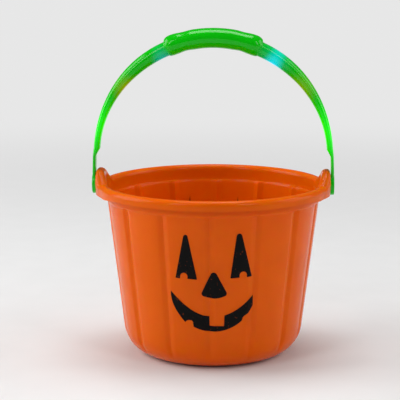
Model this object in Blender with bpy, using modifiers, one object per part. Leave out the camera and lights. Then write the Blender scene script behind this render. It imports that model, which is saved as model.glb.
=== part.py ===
"""A light-up trick-or-treat bucket: a moulded pumpkin pail with a printed face and a swinging, lit handle.

Metres, +Z up. The origin is the middle of the base, the face looks along -Y and the handle turns about X.
The handle is laid out along its arch: s runs from the top of the grip towards +X, rho points out of the
arch and y is the world's Y.
"""
import math

import bmesh
import bpy
from mathutils import Matrix, Vector

# Clearances
GAP = 0.0003
PLAY = 0.0003
SEAM = 0.0003

# Pail
PAIL_HEIGHT = 0.1524
PAIL_WALL = 0.0015
WALL_TOP_RADIUS = 0.0935
WALL_SPREAD = 0.0171
CORNER_RADIUS = 0.0267
FOOT_RING_WIDTH = 0.0063
FOOT_RECESS = 0.0012
COLLAR_HEIGHT = 0.0149
COLLAR_STEP = 0.0011
LEDGE_RISE = 0.0012
RIM_WIDTH = 0.0084
RIM_DEPTH = 0.0080

# Pumpkin lobes
LOBES = 14
GROOVE_WIDTH = 0.0070
GROOVE_DEPTH = 0.0012
GROOVE_FADE = 0.0014
LOBE_CROWN = 0.0006

# Ears
EAR_PROUD = 0.0016
EAR_BACK_STEP = 0.0013
EAR_ABOVE_PIVOT = 0.0128
EAR_PAD_ANGLE = 4.0
EAR_END_ANGLE = 13.5
EAR_FACE_ANGLE = 9.5
EAR_FACE_END_ANGLE = 14.5
EAR_COLUMN_STEP = 2.2

# Pivot
PIVOT_ABOVE_SKIRT = 0.0061
PEG_RADIUS = 0.0028
BARB_RADIUS = 0.0039
BARB_TIP_RADIUS = 0.0024
BARB_LENGTH = 0.0020
PEG_SLOT = 0.0011
STRAP_END_RADIUS = 0.0092
STRAP_END_CHAMFER = 0.0006

# Handle arch
STRAP_OFFSET = 0.00225
ARCH_RISE = 0.0246
GRIP_HALF_LENGTH = 0.0418
GRIP_THICKNESS = 0.0178
GRIP_FLARE = 0.0008
GRIP_DEPTH = 0.0208
GRIP_SHIFT = 0.0012
GRIP_SHOULDER = 0.0068
GRIP_POWER = 2.1
WAIST_DEPTH = 0.0005
WAIST_PLACE = 0.0250
WAIST_REACH = 0.0080
ARM_ROOT_THICKNESS = 0.0133
ARM_END_THICKNESS = 0.0062
ARM_ROOT_DEPTH = 0.0152
ARM_END_DEPTH = 0.0140
ARM_POWER = 2.3
ARM_END_ABOVE_LEG = 0.0068
STRAP_THICKNESS = 0.0033
STRAP_TOP_SHIFT = 0.0018
STRAP_TAPER = 0.0065
STRAP_STRAIGHT = 0.0200
STRAP_POWER = 4.0
HANDLE_WALL = 0.0013
ARM_TIP = 0.0047
SHELL_END = 0.0305
BULKHEAD = 0.0012

# Lamps, placed by their bulkhead's distance from the grip's middle
BLUE_LAMP_PLACE = 0.0530
RED_LAMP_PLACE = 0.0920
GREEN_LAMP_PLACE = 0.1280
LAMP_RADIUS = 0.0015
LAMP_FLANGE_RADIUS = 0.0019
LAMP_FLANGE = 0.0008
LAMP_BARREL = 0.0030
LAMP_LEG = 0.00045
LAMP_LEG_LENGTH = 0.0034
LAMP_LEG_SPACING = 0.0013

# Screws
SHANK_RADIUS = 0.0009
SHANK_HOLE_RADIUS = 0.0012
HEAD_RADIUS = 0.0019
HEAD_THICKNESS = 0.0015
HEAD_RECESS = 0.0026
SCREW_REACH = 0.0042
RECESS_LENGTH = 0.0020
RECESS_WIDTH = 0.0005
RECESS_DEPTH = 0.0007
BACK_POST_RADIUS = 0.0030
FRONT_POST_RADIUS = 0.0020
GRIP_SCREW_PLACE = 0.0396
ARM_SCREW_PLACE = 0.0740

# Battery bay
BAY_MIDDLE = -0.0190
BAY_HALF_LENGTH = 0.0112
CELL_RADIUS = 0.0058
CELL_THICKNESS = 0.0054
CELL_CAP_RADIUS = 0.0045
CELL_CAP = 0.0007
CELL_DEPTH_PLACE = 0.0012
CONTACT_THICKNESS = 0.0004
CONTACT_WIDTH = 0.0052
CONTACT_TOP = 0.0055
CONTACT_BOTTOM = -0.0062
SPRING_WIRE_RADIUS = 0.0003
SPRING_TURNS = 2.0
SPRING_BASE_RADIUS = 0.0022
SPRING_TIP_RADIUS = 0.0013

# Battery door
DOOR_HALF_WIDTH = 0.0059
DOOR_OUTER_END = -0.0359
DOOR_INNER_END = -0.0056
DOOR_UNDERSIDE = 0.0065
DOOR_SCREW_PLACE = -0.0332
DOOR_SHANK_END = 0.0025
SHELF_HALF_WIDTH = 0.0066
SHELF_THICKNESS = 0.0026
SHELF_MARGIN = 0.0009

# Switch and board
SWITCH_PLACE = 0.0200
BOARD_LENGTH = 0.0240
BOARD_WIDTH = 0.0096
BOARD_THICKNESS = 0.0010
BOARD_BACK = -0.0005
BOARD_POST_RADIUS = 0.0014
BOARD_POST_SPACING = 0.0150
CHIP_RADIUS = 0.0026
CHIP_HEIGHT = 0.0014
CHIP_OFFSET = -0.0080
SWITCH_SIZE = 0.0060
SWITCH_HEIGHT = 0.0035
STEM_RADIUS = 0.0017
STEM_BORE_FLOOR = 0.0008
BUTTON_TRAVEL = 0.0010
BUTTON_RADIUS = 0.0042
BUTTON_PROUD = 0.0012
BUTTON_SKIRT = 0.0068
BUTTON_WING_LENGTH = 0.0070
BUTTON_WING_WIDTH = 0.0028
BUTTON_WING = 0.0010

# Leads. A lane is a lead's rho, a depth is how far it lies in front of the seam
LAMP_LEAD_RADIUS = 0.0006
BATTERY_LEAD_RADIUS = 0.0005
LEAD_SLOT_MARGIN = 0.0005
LEAD_SLOT_TOP = -0.0010
LEAD_END_DEPTH = 0.0010
LEAD_END_GAP = 0.0010
LAMP_LANE = 0.0026
SHOULDER_DEPTH = 0.0040
ARM_LANE = 0.0031
ARM_DEPTH = 0.0032
GRIP_DEPTH_MAX = 0.0062
LAMP_LEAD_REACH = 0.0045
BLACK_LANE = 0.0054
BLACK_DEPTH = 0.0056
RED_LANE = 0.0008
RED_DEPTH = 0.0053

# Printed face, in the plane that faces the viewer: x across, z up
PRINT_TURN = 2.75
PRINT_GAP = GAP
INK = 0.0002
PUPIL_RADIUS = 0.0031
PUPIL_HEIGHT = 0.0052
NOSE_FOOT = 0.0694
NOSE_LEFT = -0.0117
NOSE_RIGHT = 0.0120
NOSE_TIP = (-0.0004, 0.0931)
NOSE_TIP_RADIUS = 0.0027
NOSE_CORNER_RADIUS = 0.0026
MOUTH_UPPER_LOW = 0.0503
MOUTH_UPPER_SPREAD = 0.0610
MOUTH_LOWER_RADIUS = 0.03635
MOUTH_LOWER_MIDDLE = -0.0005
MOUTH_LOWER_LOW = 0.0371
MOUTH_LEFT = -0.0365
MOUTH_RIGHT = 0.0329
UPPER_TOOTH = (-0.0037, 0.0086)
UPPER_TOOTH_FOOT = 0.0420
# Each eye: outer corner, inner corner, top of the rounded tip, tip radius, middle of the bite in its foot
EYES = {
    "left": ((-0.0325, 0.0840), (-0.0143, 0.0834), (-0.0243, 0.1223), 0.0018, -0.0255),
    "right": ((0.0319, 0.0851), (0.0136, 0.0845), (0.0206, 0.1233), 0.0023, 0.0245),
}
# Each lower tooth: where it leaves the mouth's lower edge, where it comes back, and the corners between
LOWER_TEETH = (
    (0.0308, 0.0238, ((0.0271, 0.0512), (0.0246, 0.0493), (0.0239, 0.0476))),
    (-0.0174, -0.0295, ((-0.0178, 0.0452), (-0.0195, 0.0470), (-0.0226, 0.0466), (-0.0243, 0.0449))),
)

# Facet counts
CORNER_STEPS = 3
ROLL_STEPS = 4
HANDLE_SIDES = 16
CAVITY_SIDES = 12
ARM_STEPS = 8
STRAP_END_STEPS = 20
TURNED_STEPS = 14
SMALL_STEPS = 8
LEAD_STEP = 0.008


def clear_scene():
    for obj in list(bpy.data.objects):
        bpy.data.objects.remove(obj, do_unlink=True)


def new_collection(name, parent=None):
    made = bpy.data.collections.new(name)
    (parent or bpy.context.scene.collection).children.link(made)
    return made


def plastic(name, colour, roughness, metallic=0.0, transmission=0.0, emission=0.0):
    """A Principled material. Emission takes the base colour."""
    material = bpy.data.materials.new(name)
    material.use_nodes = True
    shader = material.node_tree.nodes["Principled BSDF"]
    shader.inputs["Base Color"].default_value = (*colour, 1.0)
    shader.inputs["Roughness"].default_value = roughness
    shader.inputs["Metallic"].default_value = metallic
    shader.inputs["Transmission Weight"].default_value = transmission
    shader.inputs["Emission Color"].default_value = (*colour, 1.0)
    shader.inputs["Emission Strength"].default_value = emission
    return material


def smooth_step(low, high, value):
    share = min(1.0, max(0.0, (value - low) / (high - low)))
    return share * share * (3 - 2 * share)


def blend(first, second, share):
    return first + (second - first) * share


def add_object(name, mesh, collection, material=None):
    obj = bpy.data.objects.new(name, mesh)
    collection.objects.link(obj)
    if material:
        mesh.materials.append(material)
    return obj


def finish_mesh(bm, name, smooth=True):
    bmesh.ops.recalc_face_normals(bm, faces=bm.faces)
    mesh = bpy.data.meshes.new(name)
    bm.to_mesh(mesh)
    bm.free()
    if smooth:
        mesh.shade_smooth()
        mesh.set_sharp_from_angle(angle=math.radians(35))
    return mesh


def loft(name, rings, collection, material=None):
    """A closed solid through rings of equal counts, with a flat face over each end."""
    bm = bmesh.new()
    rows = [[bm.verts.new(point) for point in ring] for ring in rings]
    for low, high in zip(rows, rows[1:]):
        for i in range(len(low)):
            j = (i + 1) % len(low)
            bm.faces.new((low[i], low[j], high[j], high[i]))
    bm.faces.new(rows[0])
    bm.faces.new(rows[-1])
    return add_object(name, finish_mesh(bm, name), collection, material)


def rod(name, radius, start, end, collection, steps=SMALL_STEPS, bore=False):
    """A plain cylinder from start to end. A bore's flats, not its edges, lie at the radius."""
    axis = Vector(end) - Vector(start)
    reach = radius / math.cos(math.pi / steps) if bore else radius
    bm = bmesh.new()
    bmesh.ops.create_cone(bm, cap_ends=True, segments=steps, radius1=reach, radius2=reach, depth=axis.length)
    turn = axis.to_track_quat("Z", "Y").to_matrix().to_4x4()
    bmesh.ops.transform(bm, verts=bm.verts, matrix=Matrix.Translation((Vector(start) + Vector(end)) / 2) @ turn)
    return add_object(name, finish_mesh(bm, name), collection)


def block(name, low, high, collection, frame=None, material=None):
    """A box between two corners, in the given frame."""
    bm = bmesh.new()
    bmesh.ops.create_cube(bm, size=1.0)
    size = [b - a for a, b in zip(low, high)]
    middle = [(a + b) / 2 for a, b in zip(low, high)]
    bmesh.ops.scale(bm, verts=bm.verts, vec=size)
    bmesh.ops.translate(bm, verts=bm.verts, vec=middle)
    obj = add_object(name, finish_mesh(bm, name, smooth=False), collection, material)
    obj.matrix_world = frame or Matrix.Identity(4)
    return obj


def turned(name, profile, collection, frame=None, material=None, steps=TURNED_STEPS):
    """A turned solid about its own Z. The profile (radius, height) runs from its top on the axis down to its foot."""
    mesh = bpy.data.meshes.new(name)
    points = [(radius, 0, height) for radius, height in profile]
    mesh.from_pydata(points, [(i, i + 1) for i in range(len(points) - 1)], [])
    obj = add_object(name, mesh, collection, material)
    screw = obj.modifiers.new("turn", "SCREW")
    screw.axis = "Z"
    screw.steps = steps
    screw.render_steps = steps
    screw.use_merge_vertices = True
    screw.merge_threshold = 0.00001
    screw.use_smooth_shade = True
    obj.matrix_world = frame or Matrix.Identity(4)
    return obj


def boolean(target, operation, cutter):
    """A live Boolean with one object or with a whole collection."""
    modifier = target.modifiers.new(f"{operation.lower()} {cutter.name}", "BOOLEAN")
    modifier.operation = operation
    modifier.solver = "EXACT"
    if isinstance(cutter, bpy.types.Collection):
        modifier.operand_type = "COLLECTION"
        modifier.collection = cutter
    else:
        modifier.object = cutter
    return modifier


def applied_mesh(obj, name):
    """The object's mesh with its modifiers applied. The object is removed."""
    bpy.context.view_layer.update()
    graph = bpy.context.evaluated_depsgraph_get()
    mesh = bpy.data.meshes.new_from_object(obj.evaluated_get(graph), depsgraph=graph)
    mesh.name = name
    bm = bmesh.new()
    bm.from_mesh(mesh)
    bmesh.ops.remove_doubles(bm, verts=bm.verts, dist=0.000001)
    bm.to_mesh(mesh)
    bm.free()
    bpy.data.objects.remove(obj)
    return mesh


def wire(name, points, radius, collection, material=None):
    """A round wire through the points, as a poly curve with closed ends, made a mesh."""
    data = bpy.data.curves.new(name, "CURVE")
    data.dimensions = "3D"
    data.bevel_depth = radius
    data.bevel_resolution = 1
    data.use_fill_caps = True
    spline = data.splines.new("POLY")
    spline.points.add(len(points) - 1)
    for slot, point in zip(spline.points, points):
        slot.co = (*point, 1)
    curve = bpy.data.objects.new(name + " path", data)
    collection.objects.link(curve)
    mesh = applied_mesh(curve, name)
    mesh.shade_smooth()
    return add_object(name, mesh, collection, material)


def outline_prism(name, outline, near, far, collection):
    """A flat outline in x and z, made solid between two depths in front of the pail."""
    data = bpy.data.curves.new(name, "CURVE")
    data.dimensions = "2D"
    data.fill_mode = "BOTH"
    data.extrude = (near - far) / 2
    spline = data.splines.new("POLY")
    spline.points.add(len(outline) - 1)
    for slot, (x, z) in zip(spline.points, outline):
        slot.co = (x, z, 0, 1)
    spline.use_cyclic_u = True
    curve = bpy.data.objects.new(name + " outline", data)
    collection.objects.link(curve)
    mesh = applied_mesh(curve, name)
    # The outline's plane stands up to face -Y, in the middle of its depth range
    stand = Matrix.Translation((0, (near + far) / 2, 0)) @ Matrix.Rotation(math.pi / 2, 4, "X")
    mesh.transform(Matrix.Rotation(math.radians(PRINT_TURN), 4, "Z") @ stand)
    return add_object(name, mesh, collection)


def arc(centre_x, centre_z, radius, start, end, steps):
    """Points on an arc, angles in degrees, both ends included."""
    angles = [math.radians(blend(start, end, i / steps)) for i in range(steps + 1)]
    return [(centre_x + radius * math.cos(a), centre_z + radius * math.sin(a)) for a in angles]


def smooth_route(points, step):
    """A smooth curve through the points, sampled about every step along the first coordinate."""
    ends = [points[0]] + list(points) + [points[-1]]
    route = []
    for before, start, end, after in zip(ends, ends[1:], ends[2:], ends[3:]):
        count = max(1, round(abs(end[0] - start[0]) / step))
        for i in range(count):
            t = i / count
            route.append(tuple(
                0.5 * (2 * b + (c - a) * t + (2 * a - 5 * b + 4 * c - d) * t * t + (3 * b - a - 3 * c + d) * t ** 3)
                for a, b, c, d in zip(before, start, end, after)
            ))
    return route + [tuple(points[-1])]


# Pail


def skirt_height():
    return PAIL_HEIGHT - RIM_DEPTH


def pivot_height():
    return skirt_height() + PIVOT_ABOVE_SKIRT


def ledge_height():
    return PAIL_HEIGHT - COLLAR_HEIGHT


def collar_radius():
    """The collar's inner face, where the rolled rim starts."""
    return WALL_TOP_RADIUS + COLLAR_STEP - PAIL_WALL


def rim_radius():
    return collar_radius() + RIM_WIDTH


def ear_face():
    return rim_radius() + EAR_PROUD


def base_radius():
    """The wall's radius carried down to the ground."""
    return WALL_TOP_RADIUS - WALL_SPREAD


def wall_radius(height):
    return blend(base_radius(), WALL_TOP_RADIUS, height / ledge_height())


def wall_slope():
    return WALL_SPREAD / ledge_height()


def lobe_pitch():
    return 360 / LOBES


def pail_angles():
    """The pail's columns in degrees: three on each groove, the others on the lobes, closer together on the ears."""
    half_groove = math.degrees(GROOVE_WIDTH / 2 / wall_radius(PAIL_HEIGHT / 2))
    angles = []
    for lobe in range(LOBES):
        groove = -90 + lobe * lobe_pitch()
        middle = groove + lobe_pitch() / 2
        angles += [groove - half_groove, groove, groove + half_groove]
        if ear_offset(middle) < lobe_pitch() / 4:
            angles += [middle + EAR_COLUMN_STEP * i for i in range(-4, 5)]
        else:
            angles += [middle - lobe_pitch() / 8, middle + lobe_pitch() / 8]
    return angles


def groove_cut(angle):
    """How far the surface lies inside the lobes' crowns: a gentle fall over each lobe, then the groove."""
    from_groove = abs((angle + 90 + lobe_pitch() / 2) % lobe_pitch() - lobe_pitch() / 2)
    half_groove = math.degrees(GROOVE_WIDTH / 2 / wall_radius(PAIL_HEIGHT / 2))
    fall = 1 - from_groove / (lobe_pitch() / 2)
    valley = max(0.0, 1 - from_groove / half_groove)
    return LOBE_CROWN * fall * fall + GROOVE_DEPTH * valley


def ear_offset(angle):
    """Degrees from the middle of the nearest ear."""
    return abs((angle + 90) % 180 - 90)


def ear_share(angle):
    """1 over the top of an ear, falling to 0 where the rim is at its plain height."""
    return 1 - smooth_step(EAR_PAD_ANGLE, EAR_END_ANGLE, ear_offset(angle))


def face_share(angle):
    """1 over an ear's flat face, falling to 0 where the rim is round."""
    return 1 - smooth_step(EAR_FACE_ANGLE, EAR_FACE_END_ANGLE, ear_offset(angle))


def corner_centre_radius():
    slope = wall_slope()
    return base_radius() + slope * CORNER_RADIUS - CORNER_RADIUS * math.hypot(1, slope)


def lower_rows():
    """Underside, foot, corner and wall up to the ledge, as (radius, height, share of the groove)."""
    foot = corner_centre_radius() - FOOT_RING_WIDTH
    rows = [(foot - FOOT_RECESS, FOOT_RECESS, 0.0), (foot, 0.0, 0.0)]
    sweep = math.pi / 2 - math.atan(wall_slope())
    for step in range(CORNER_STEPS + 1):
        angle = -math.pi / 2 + sweep * step / CORNER_STEPS
        radius = corner_centre_radius() + CORNER_RADIUS * math.cos(angle)
        rows.append((radius, CORNER_RADIUS * (1 + math.sin(angle)), step / CORNER_STEPS))
    groove_top = ledge_height() - GROOVE_FADE
    rows.append((wall_radius(groove_top), groove_top, 1.0))
    rows.append((WALL_TOP_RADIUS, ledge_height(), 0.0))
    rows.append((collar_radius() + PAIL_WALL, ledge_height() + LEDGE_RISE, 0.0))
    return rows


def rim_points(angle):
    """The underside of the rolled rim at one angle, from the collar over the roll to the skirt's lower edge."""
    share = ear_share(angle)
    widen = 1 / math.cos(math.radians(ear_offset(angle)))
    outer = blend(rim_radius(), ear_face() * widen, face_share(angle))
    inner = blend(collar_radius(), (collar_radius() + EAR_BACK_STEP) * widen, share)
    top = blend(PAIL_HEIGHT, pivot_height() + EAR_ABOVE_PIVOT, share)
    roll = (outer - inner) / 2
    points = []
    for step in range(ROLL_STEPS + 1):
        turn = math.pi * (1 - step / ROLL_STEPS)
        reach = roll - PAIL_WALL
        points.append(((outer + inner) / 2 + reach * math.cos(turn), top - roll + reach * math.sin(turn)))
    points.append((outer - PAIL_WALL, skirt_height()))
    return points


def around(radius, angle, height):
    turn = math.radians(angle)
    return Vector((radius * math.cos(turn), radius * math.sin(turn), height))


def make_pail(collection, cutters, material):
    """One sheet of the moulding's outer and under side, thickened inwards, with the two pivot holes."""
    bm = bmesh.new()
    columns = []
    for angle in pail_angles():
        cut = groove_cut(angle)
        points = [around(radius - share * cut, angle, height) for radius, height, share in lower_rows()]
        points += [around(radius, angle, height) for radius, height in rim_points(angle)]
        columns.append([bm.verts.new(point) for point in points])
    for left, right in zip(columns, columns[1:] + columns[:1]):
        for i in range(len(left) - 1):
            bm.faces.new((left[i], right[i], right[i + 1], left[i + 1]))
    bm.faces.new([column[0] for column in reversed(columns)])
    mesh = bpy.data.meshes.new("bucket_shell")
    bm.to_mesh(mesh)
    bm.free()
    mesh.shade_smooth()
    mesh.set_sharp_from_angle(angle=math.radians(35))
    pail = add_object("bucket_shell", mesh, collection, material)
    wall = pail.modifiers.new("wall", "SOLIDIFY")
    wall.thickness = PAIL_WALL
    wall.offset = -1
    wall.use_even_offset = True
    for side in (-1, 1):
        start = (side * (ear_face() - 3 * PAIL_WALL), 0, pivot_height())
        end = (side * (ear_face() + PAIL_WALL), 0, pivot_height())
        hole = rod(f"pivot hole {side}", PEG_RADIUS + PLAY, start, end, cutters, TURNED_STEPS, bore=True)
        boolean(pail, "DIFFERENCE", hole)
    return pail


# Printed face


def tangent_corner(before, corner, after, radius, steps):
    """A rounded corner between two straight edges."""
    to_before = (Vector(before) - Vector(corner)).normalized()
    to_after = (Vector(after) - Vector(corner)).normalized()
    half = to_before.angle(to_after) / 2
    centre = Vector(corner) + (to_before + to_after).normalized() * radius / math.sin(half)
    first = Vector(corner) + to_before * radius / math.tan(half) - centre
    last = Vector(corner) + to_after * radius / math.tan(half) - centre
    sweep = first.angle_signed(last)
    points = []
    for i in range(steps + 1):
        turned_arm = first.copy()
        turned_arm.rotate(Matrix.Rotation(-sweep * i / steps, 2))
        points.append(tuple(centre + turned_arm))
    return points


def eye_outline(side):
    """A tall rounded triangle with a half round bite out of its foot."""
    outer, inner, top, radius, bite = EYES[side]
    left, right = sorted((outer, inner))
    half = math.atan((right[0] - left[0]) / 2 / (top[1] - (left[1] + right[1]) / 2 + 2 * radius))
    tip = (top[0], top[1] + radius * (1 / math.sin(half) - 1))
    foot = blend(left[1], right[1], (bite - left[0]) / (right[0] - left[0]))
    outline = [left] + tangent_corner(left, tip, right, radius, 4) + [right]
    outline += [(bite + PUPIL_RADIUS, foot)]
    outline += arc(bite, foot + PUPIL_HEIGHT - PUPIL_RADIUS, PUPIL_RADIUS, 0, 180, 6)
    outline += [(bite - PUPIL_RADIUS, foot)]
    return outline


def nose_outline():
    """A rounded triangle on a bowed foot."""
    left = (NOSE_LEFT, NOSE_FOOT)
    right = (NOSE_RIGHT, NOSE_FOOT)
    foot = (NOSE_TIP[0], NOSE_FOOT - NOSE_CORNER_RADIUS)
    outline = tangent_corner(foot, left, NOSE_TIP, NOSE_CORNER_RADIUS, 3)
    outline += tangent_corner(left, NOSE_TIP, right, NOSE_TIP_RADIUS, 4)
    outline += tangent_corner(NOSE_TIP, right, foot, NOSE_CORNER_RADIUS, 3)
    return outline + [foot]


def mouth_outline():
    """A crescent under a bowed edge, with one tooth hanging from the bow and two on the lower arc."""

    def upper(start, end, steps):
        places = [blend(start, end, i / steps) for i in range(steps + 1)]
        return [(x, MOUTH_UPPER_LOW + x * x / MOUTH_UPPER_SPREAD) for x in places]

    def lower(start, end, steps):
        turns = [math.degrees(math.asin((x - MOUTH_LOWER_MIDDLE) / MOUTH_LOWER_RADIUS)) - 90 for x in (start, end)]
        centre = MOUTH_LOWER_LOW + MOUTH_LOWER_RADIUS
        return arc(MOUTH_LOWER_MIDDLE, centre, MOUTH_LOWER_RADIUS, turns[0], turns[1], steps)

    outline = upper(MOUTH_LEFT, UPPER_TOOTH[0], 5)
    outline += [(UPPER_TOOTH[0], UPPER_TOOTH_FOOT), (UPPER_TOOTH[1], UPPER_TOOTH_FOOT)]
    outline += upper(UPPER_TOOTH[1], MOUTH_RIGHT, 4)
    edge = MOUTH_RIGHT
    for start, end, corners in LOWER_TEETH:
        outline += lower(edge, start, max(1, round((edge - start) / 0.010)))
        outline += corners
        edge = end
    return outline + lower(edge, MOUTH_LEFT, 2)


def make_face(collection, cutters, material):
    """Ink areas cut from a thin sheet that follows the pail's wall, on the front and again on the back."""
    outlines = {
        "left_eye_print": eye_outline("left"),
        "right_eye_print": eye_outline("right"),
        "nose_print": nose_outline(),
        "mouth_print": mouth_outline(),
    }
    reach = 1.5 * lobe_pitch()
    angles = sorted((angle + 270) % 360 - 270 for angle in pail_angles())
    angles = [angle for angle in angles if abs(angle + 90) < reach]
    low = CORNER_RADIUS
    high = ledge_height() - GROOVE_FADE
    for name, outline in outlines.items():
        bm = bmesh.new()
        rows = [[], []]
        for angle in angles:
            for row, height in zip(rows, (low, high)):
                radius = wall_radius(height) - groove_cut(angle) + PRINT_GAP
                row.append(bm.verts.new(around(radius, angle, height)))
        for i in range(len(angles) - 1):
            bm.faces.new((rows[0][i], rows[0][i + 1], rows[1][i + 1], rows[1][i]))
        sheet_mesh = bpy.data.meshes.new(name)
        bm.to_mesh(sheet_mesh)
        bm.free()
        sheet = add_object(name + " sheet", sheet_mesh, cutters)
        ink = sheet.modifiers.new("ink", "SOLIDIFY")
        ink.thickness = INK
        ink.offset = 1
        prism = outline_prism(name + " prism", outline, -base_radius() / 2, -WALL_TOP_RADIUS - RIM_WIDTH,
                              cutters)
        as_cutter(prism)
        boolean(sheet, "INTERSECT", prism)
        mesh = applied_mesh(sheet, name)
        mesh.materials.append(material)
        for prefix, turn in (("front_", 0.0), ("back_", math.pi)):
            film = add_object(prefix + name, mesh, collection)
            film.rotation_euler = (0, 0, turn)


# Handle arch


def arch_radius():
    """The handle spans the ears: its straps hang a little outside the arch's own circle."""
    return ear_face() + GAP + STRAP_THICKNESS / 2 - STRAP_OFFSET


def arch_centre_height():
    return pivot_height() + ARCH_RISE


def arch_quarter():
    return arch_radius() * math.pi / 2


def arm_end():
    return arch_quarter() - ARM_END_ABOVE_LEG


def lamp_places():
    return {"blue": BLUE_LAMP_PLACE, "red": RED_LAMP_PLACE, "green": GREEN_LAMP_PLACE}


def case_screw_places():
    return [-ARM_SCREW_PLACE, -GRIP_SCREW_PLACE, GRIP_SCREW_PLACE, ARM_SCREW_PLACE]


def arch_frame(s, rho=0.0, y=0.0):
    """The frame at arc distance s: X along the arch, Y as the world's, Z out of the arch. Past the arch it is straight."""
    turn = max(-math.pi / 2, min(math.pi / 2, s / arch_radius()))
    straight = max(0.0, abs(s) - arch_quarter())
    along = Vector((math.cos(turn), 0, -math.sin(turn)))
    out = Vector((math.sin(turn), 0, math.cos(turn)))
    place = Vector((0, y, arch_centre_height() - straight)) + out * (arch_radius() + rho)
    frame = Matrix((along, Vector((0, 1, 0)), out)).transposed().to_4x4()
    frame.translation = place
    return frame


def handle_section(s):
    """Outward shift, half thickness, half depth and squareness of the handle's section at s."""
    distance = abs(s)
    run = min(1.0, max(0.0, (distance - GRIP_HALF_LENGTH) / (arm_end() - GRIP_HALF_LENGTH)))
    taper = (1 + math.cos(math.pi * run)) / 2
    thickness = blend(ARM_END_THICKNESS, ARM_ROOT_THICKNESS, taper)
    depth = blend(ARM_END_DEPTH, ARM_ROOT_DEPTH, taper)
    shift = 0.0
    power = ARM_POWER
    if distance < GRIP_HALF_LENGTH:
        round_over = max(0.0, (distance - GRIP_HALF_LENGTH + GRIP_SHOULDER) / GRIP_SHOULDER)
        swell = math.sqrt(max(0.0, 1 - round_over ** 2))
        off_waist = min(1.0, abs(distance - WAIST_PLACE) / WAIST_REACH)
        waist = 2 * WAIST_DEPTH * math.cos(off_waist * math.pi / 2) ** 2
        flare = GRIP_FLARE * (distance / GRIP_HALF_LENGTH) ** 2
        thickness = blend(thickness, GRIP_THICKNESS + flare - waist, swell)
        depth = blend(depth, GRIP_DEPTH, swell)
        shift = GRIP_SHIFT * swell
        power = blend(ARM_POWER, GRIP_POWER, swell)
    if distance > arm_end():
        thin = min(1.0, (distance - arm_end()) / STRAP_TAPER)
        lean = min(1.0, max(0.0, (distance - arm_end() - STRAP_TAPER) / (STRAP_STRAIGHT - STRAP_TAPER)))
        thickness = blend(thickness, STRAP_THICKNESS, thin)
        shift = blend(thin * STRAP_TOP_SHIFT, STRAP_OFFSET, lean)
        power = blend(ARM_POWER, STRAP_POWER, thin)
    return shift, thickness / 2, depth / 2, power


def handle_ring(s, inset, sides):
    """The section's outline at s, drawn in by inset. Its corners straddle the seam plane, so none lies on it."""
    shift, half, depth, power = handle_section(s)
    frame = arch_frame(s)
    ring = []
    for i in range(sides):
        turn = 2 * math.pi * (i + 0.5) / sides
        rho = math.copysign(abs(math.cos(turn)) ** (2 / power), math.cos(turn)) * (half - inset)
        y = math.copysign(abs(math.sin(turn)) ** (2 / power), math.sin(turn)) * (depth - inset)
        ring.append(frame @ Vector((0, y, shift + rho)))
    return ring


def handle_stations():
    """Distances from the grip's middle at which the handle's section is drawn."""
    grip = [0.0, WAIST_PLACE - WAIST_REACH, WAIST_PLACE - WAIST_REACH / 2, WAIST_PLACE, WAIST_PLACE + WAIST_REACH / 2]
    shoulder = [GRIP_HALF_LENGTH - GRIP_SHOULDER * (1 - math.sin(math.pi / 2 * i / 3)) for i in range(4)]
    arm = [blend(GRIP_HALF_LENGTH, arm_end(), i / ARM_STEPS) for i in range(1, ARM_STEPS + 1)]
    leg_end = arch_quarter() + ARCH_RISE - STRAP_END_RADIUS / 3
    strap = [arm_end() + STRAP_TAPER, arm_end() + STRAP_STRAIGHT, leg_end]
    one_side = grip + shoulder + arm + strap
    return [-s for s in reversed(one_side[1:])] + one_side


def chamber(name, start, end, collection):
    """The space inside the handle's wall between two bulkheads."""
    inside = [s for s in handle_stations() if start + 0.002 < s < end - 0.002]
    rings = [handle_ring(s, HANDLE_WALL, CAVITY_SIDES) for s in [start] + inside + [end]]
    return loft(name, rings, collection)


def as_cutter(obj):
    obj.hide_render = True
    obj.display_type = "WIRE"
    return obj


def middle_rho(s):
    """The middle of the section, which the grip carries a little further out than the arms."""
    return handle_section(s)[0]


def local_box(name, s, low, high, collection, material=None):
    """A box in the arch's frame at s. Its corners are given as (along, y, rho from the section's middle)."""
    return block(name, low, high, collection, arch_frame(s, middle_rho(s)), material)


def local_rod(name, s, radius, y_from, y_to, collection, along=0.0, steps=SMALL_STEPS, bore=False):
    """A cylinder that stands across the handle, parallel to Y, in the arch's frame at s."""
    frame = arch_frame(s, middle_rho(s))
    start = frame @ Vector((along, y_from, 0))
    end = frame @ Vector((along, y_to, 0))
    return rod(name, radius, start, end, collection, steps, bore)


def bay_start():
    return BAY_MIDDLE - BAY_HALF_LENGTH


def bay_end():
    return BAY_MIDDLE + BAY_HALF_LENGTH


def bay_reach():
    """How far a contact plate's outer face may stand from the bay's middle: the bay's end walls lean towards it."""
    inner_edge = arch_radius() + GRIP_SHIFT - CONTACT_WIDTH / 2
    return inner_edge * math.tan(BAY_HALF_LENGTH / arch_radius()) - GAP


def bulkheads():
    """The middles of the walls across the handle: both ends of the battery bay and one for each lamp."""
    lamps = [side * place for place in lamp_places().values() for side in (-1, 1)]
    return sorted(lamps + [bay_start() - BULKHEAD / 2, bay_end() + BULKHEAD / 2])


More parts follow.
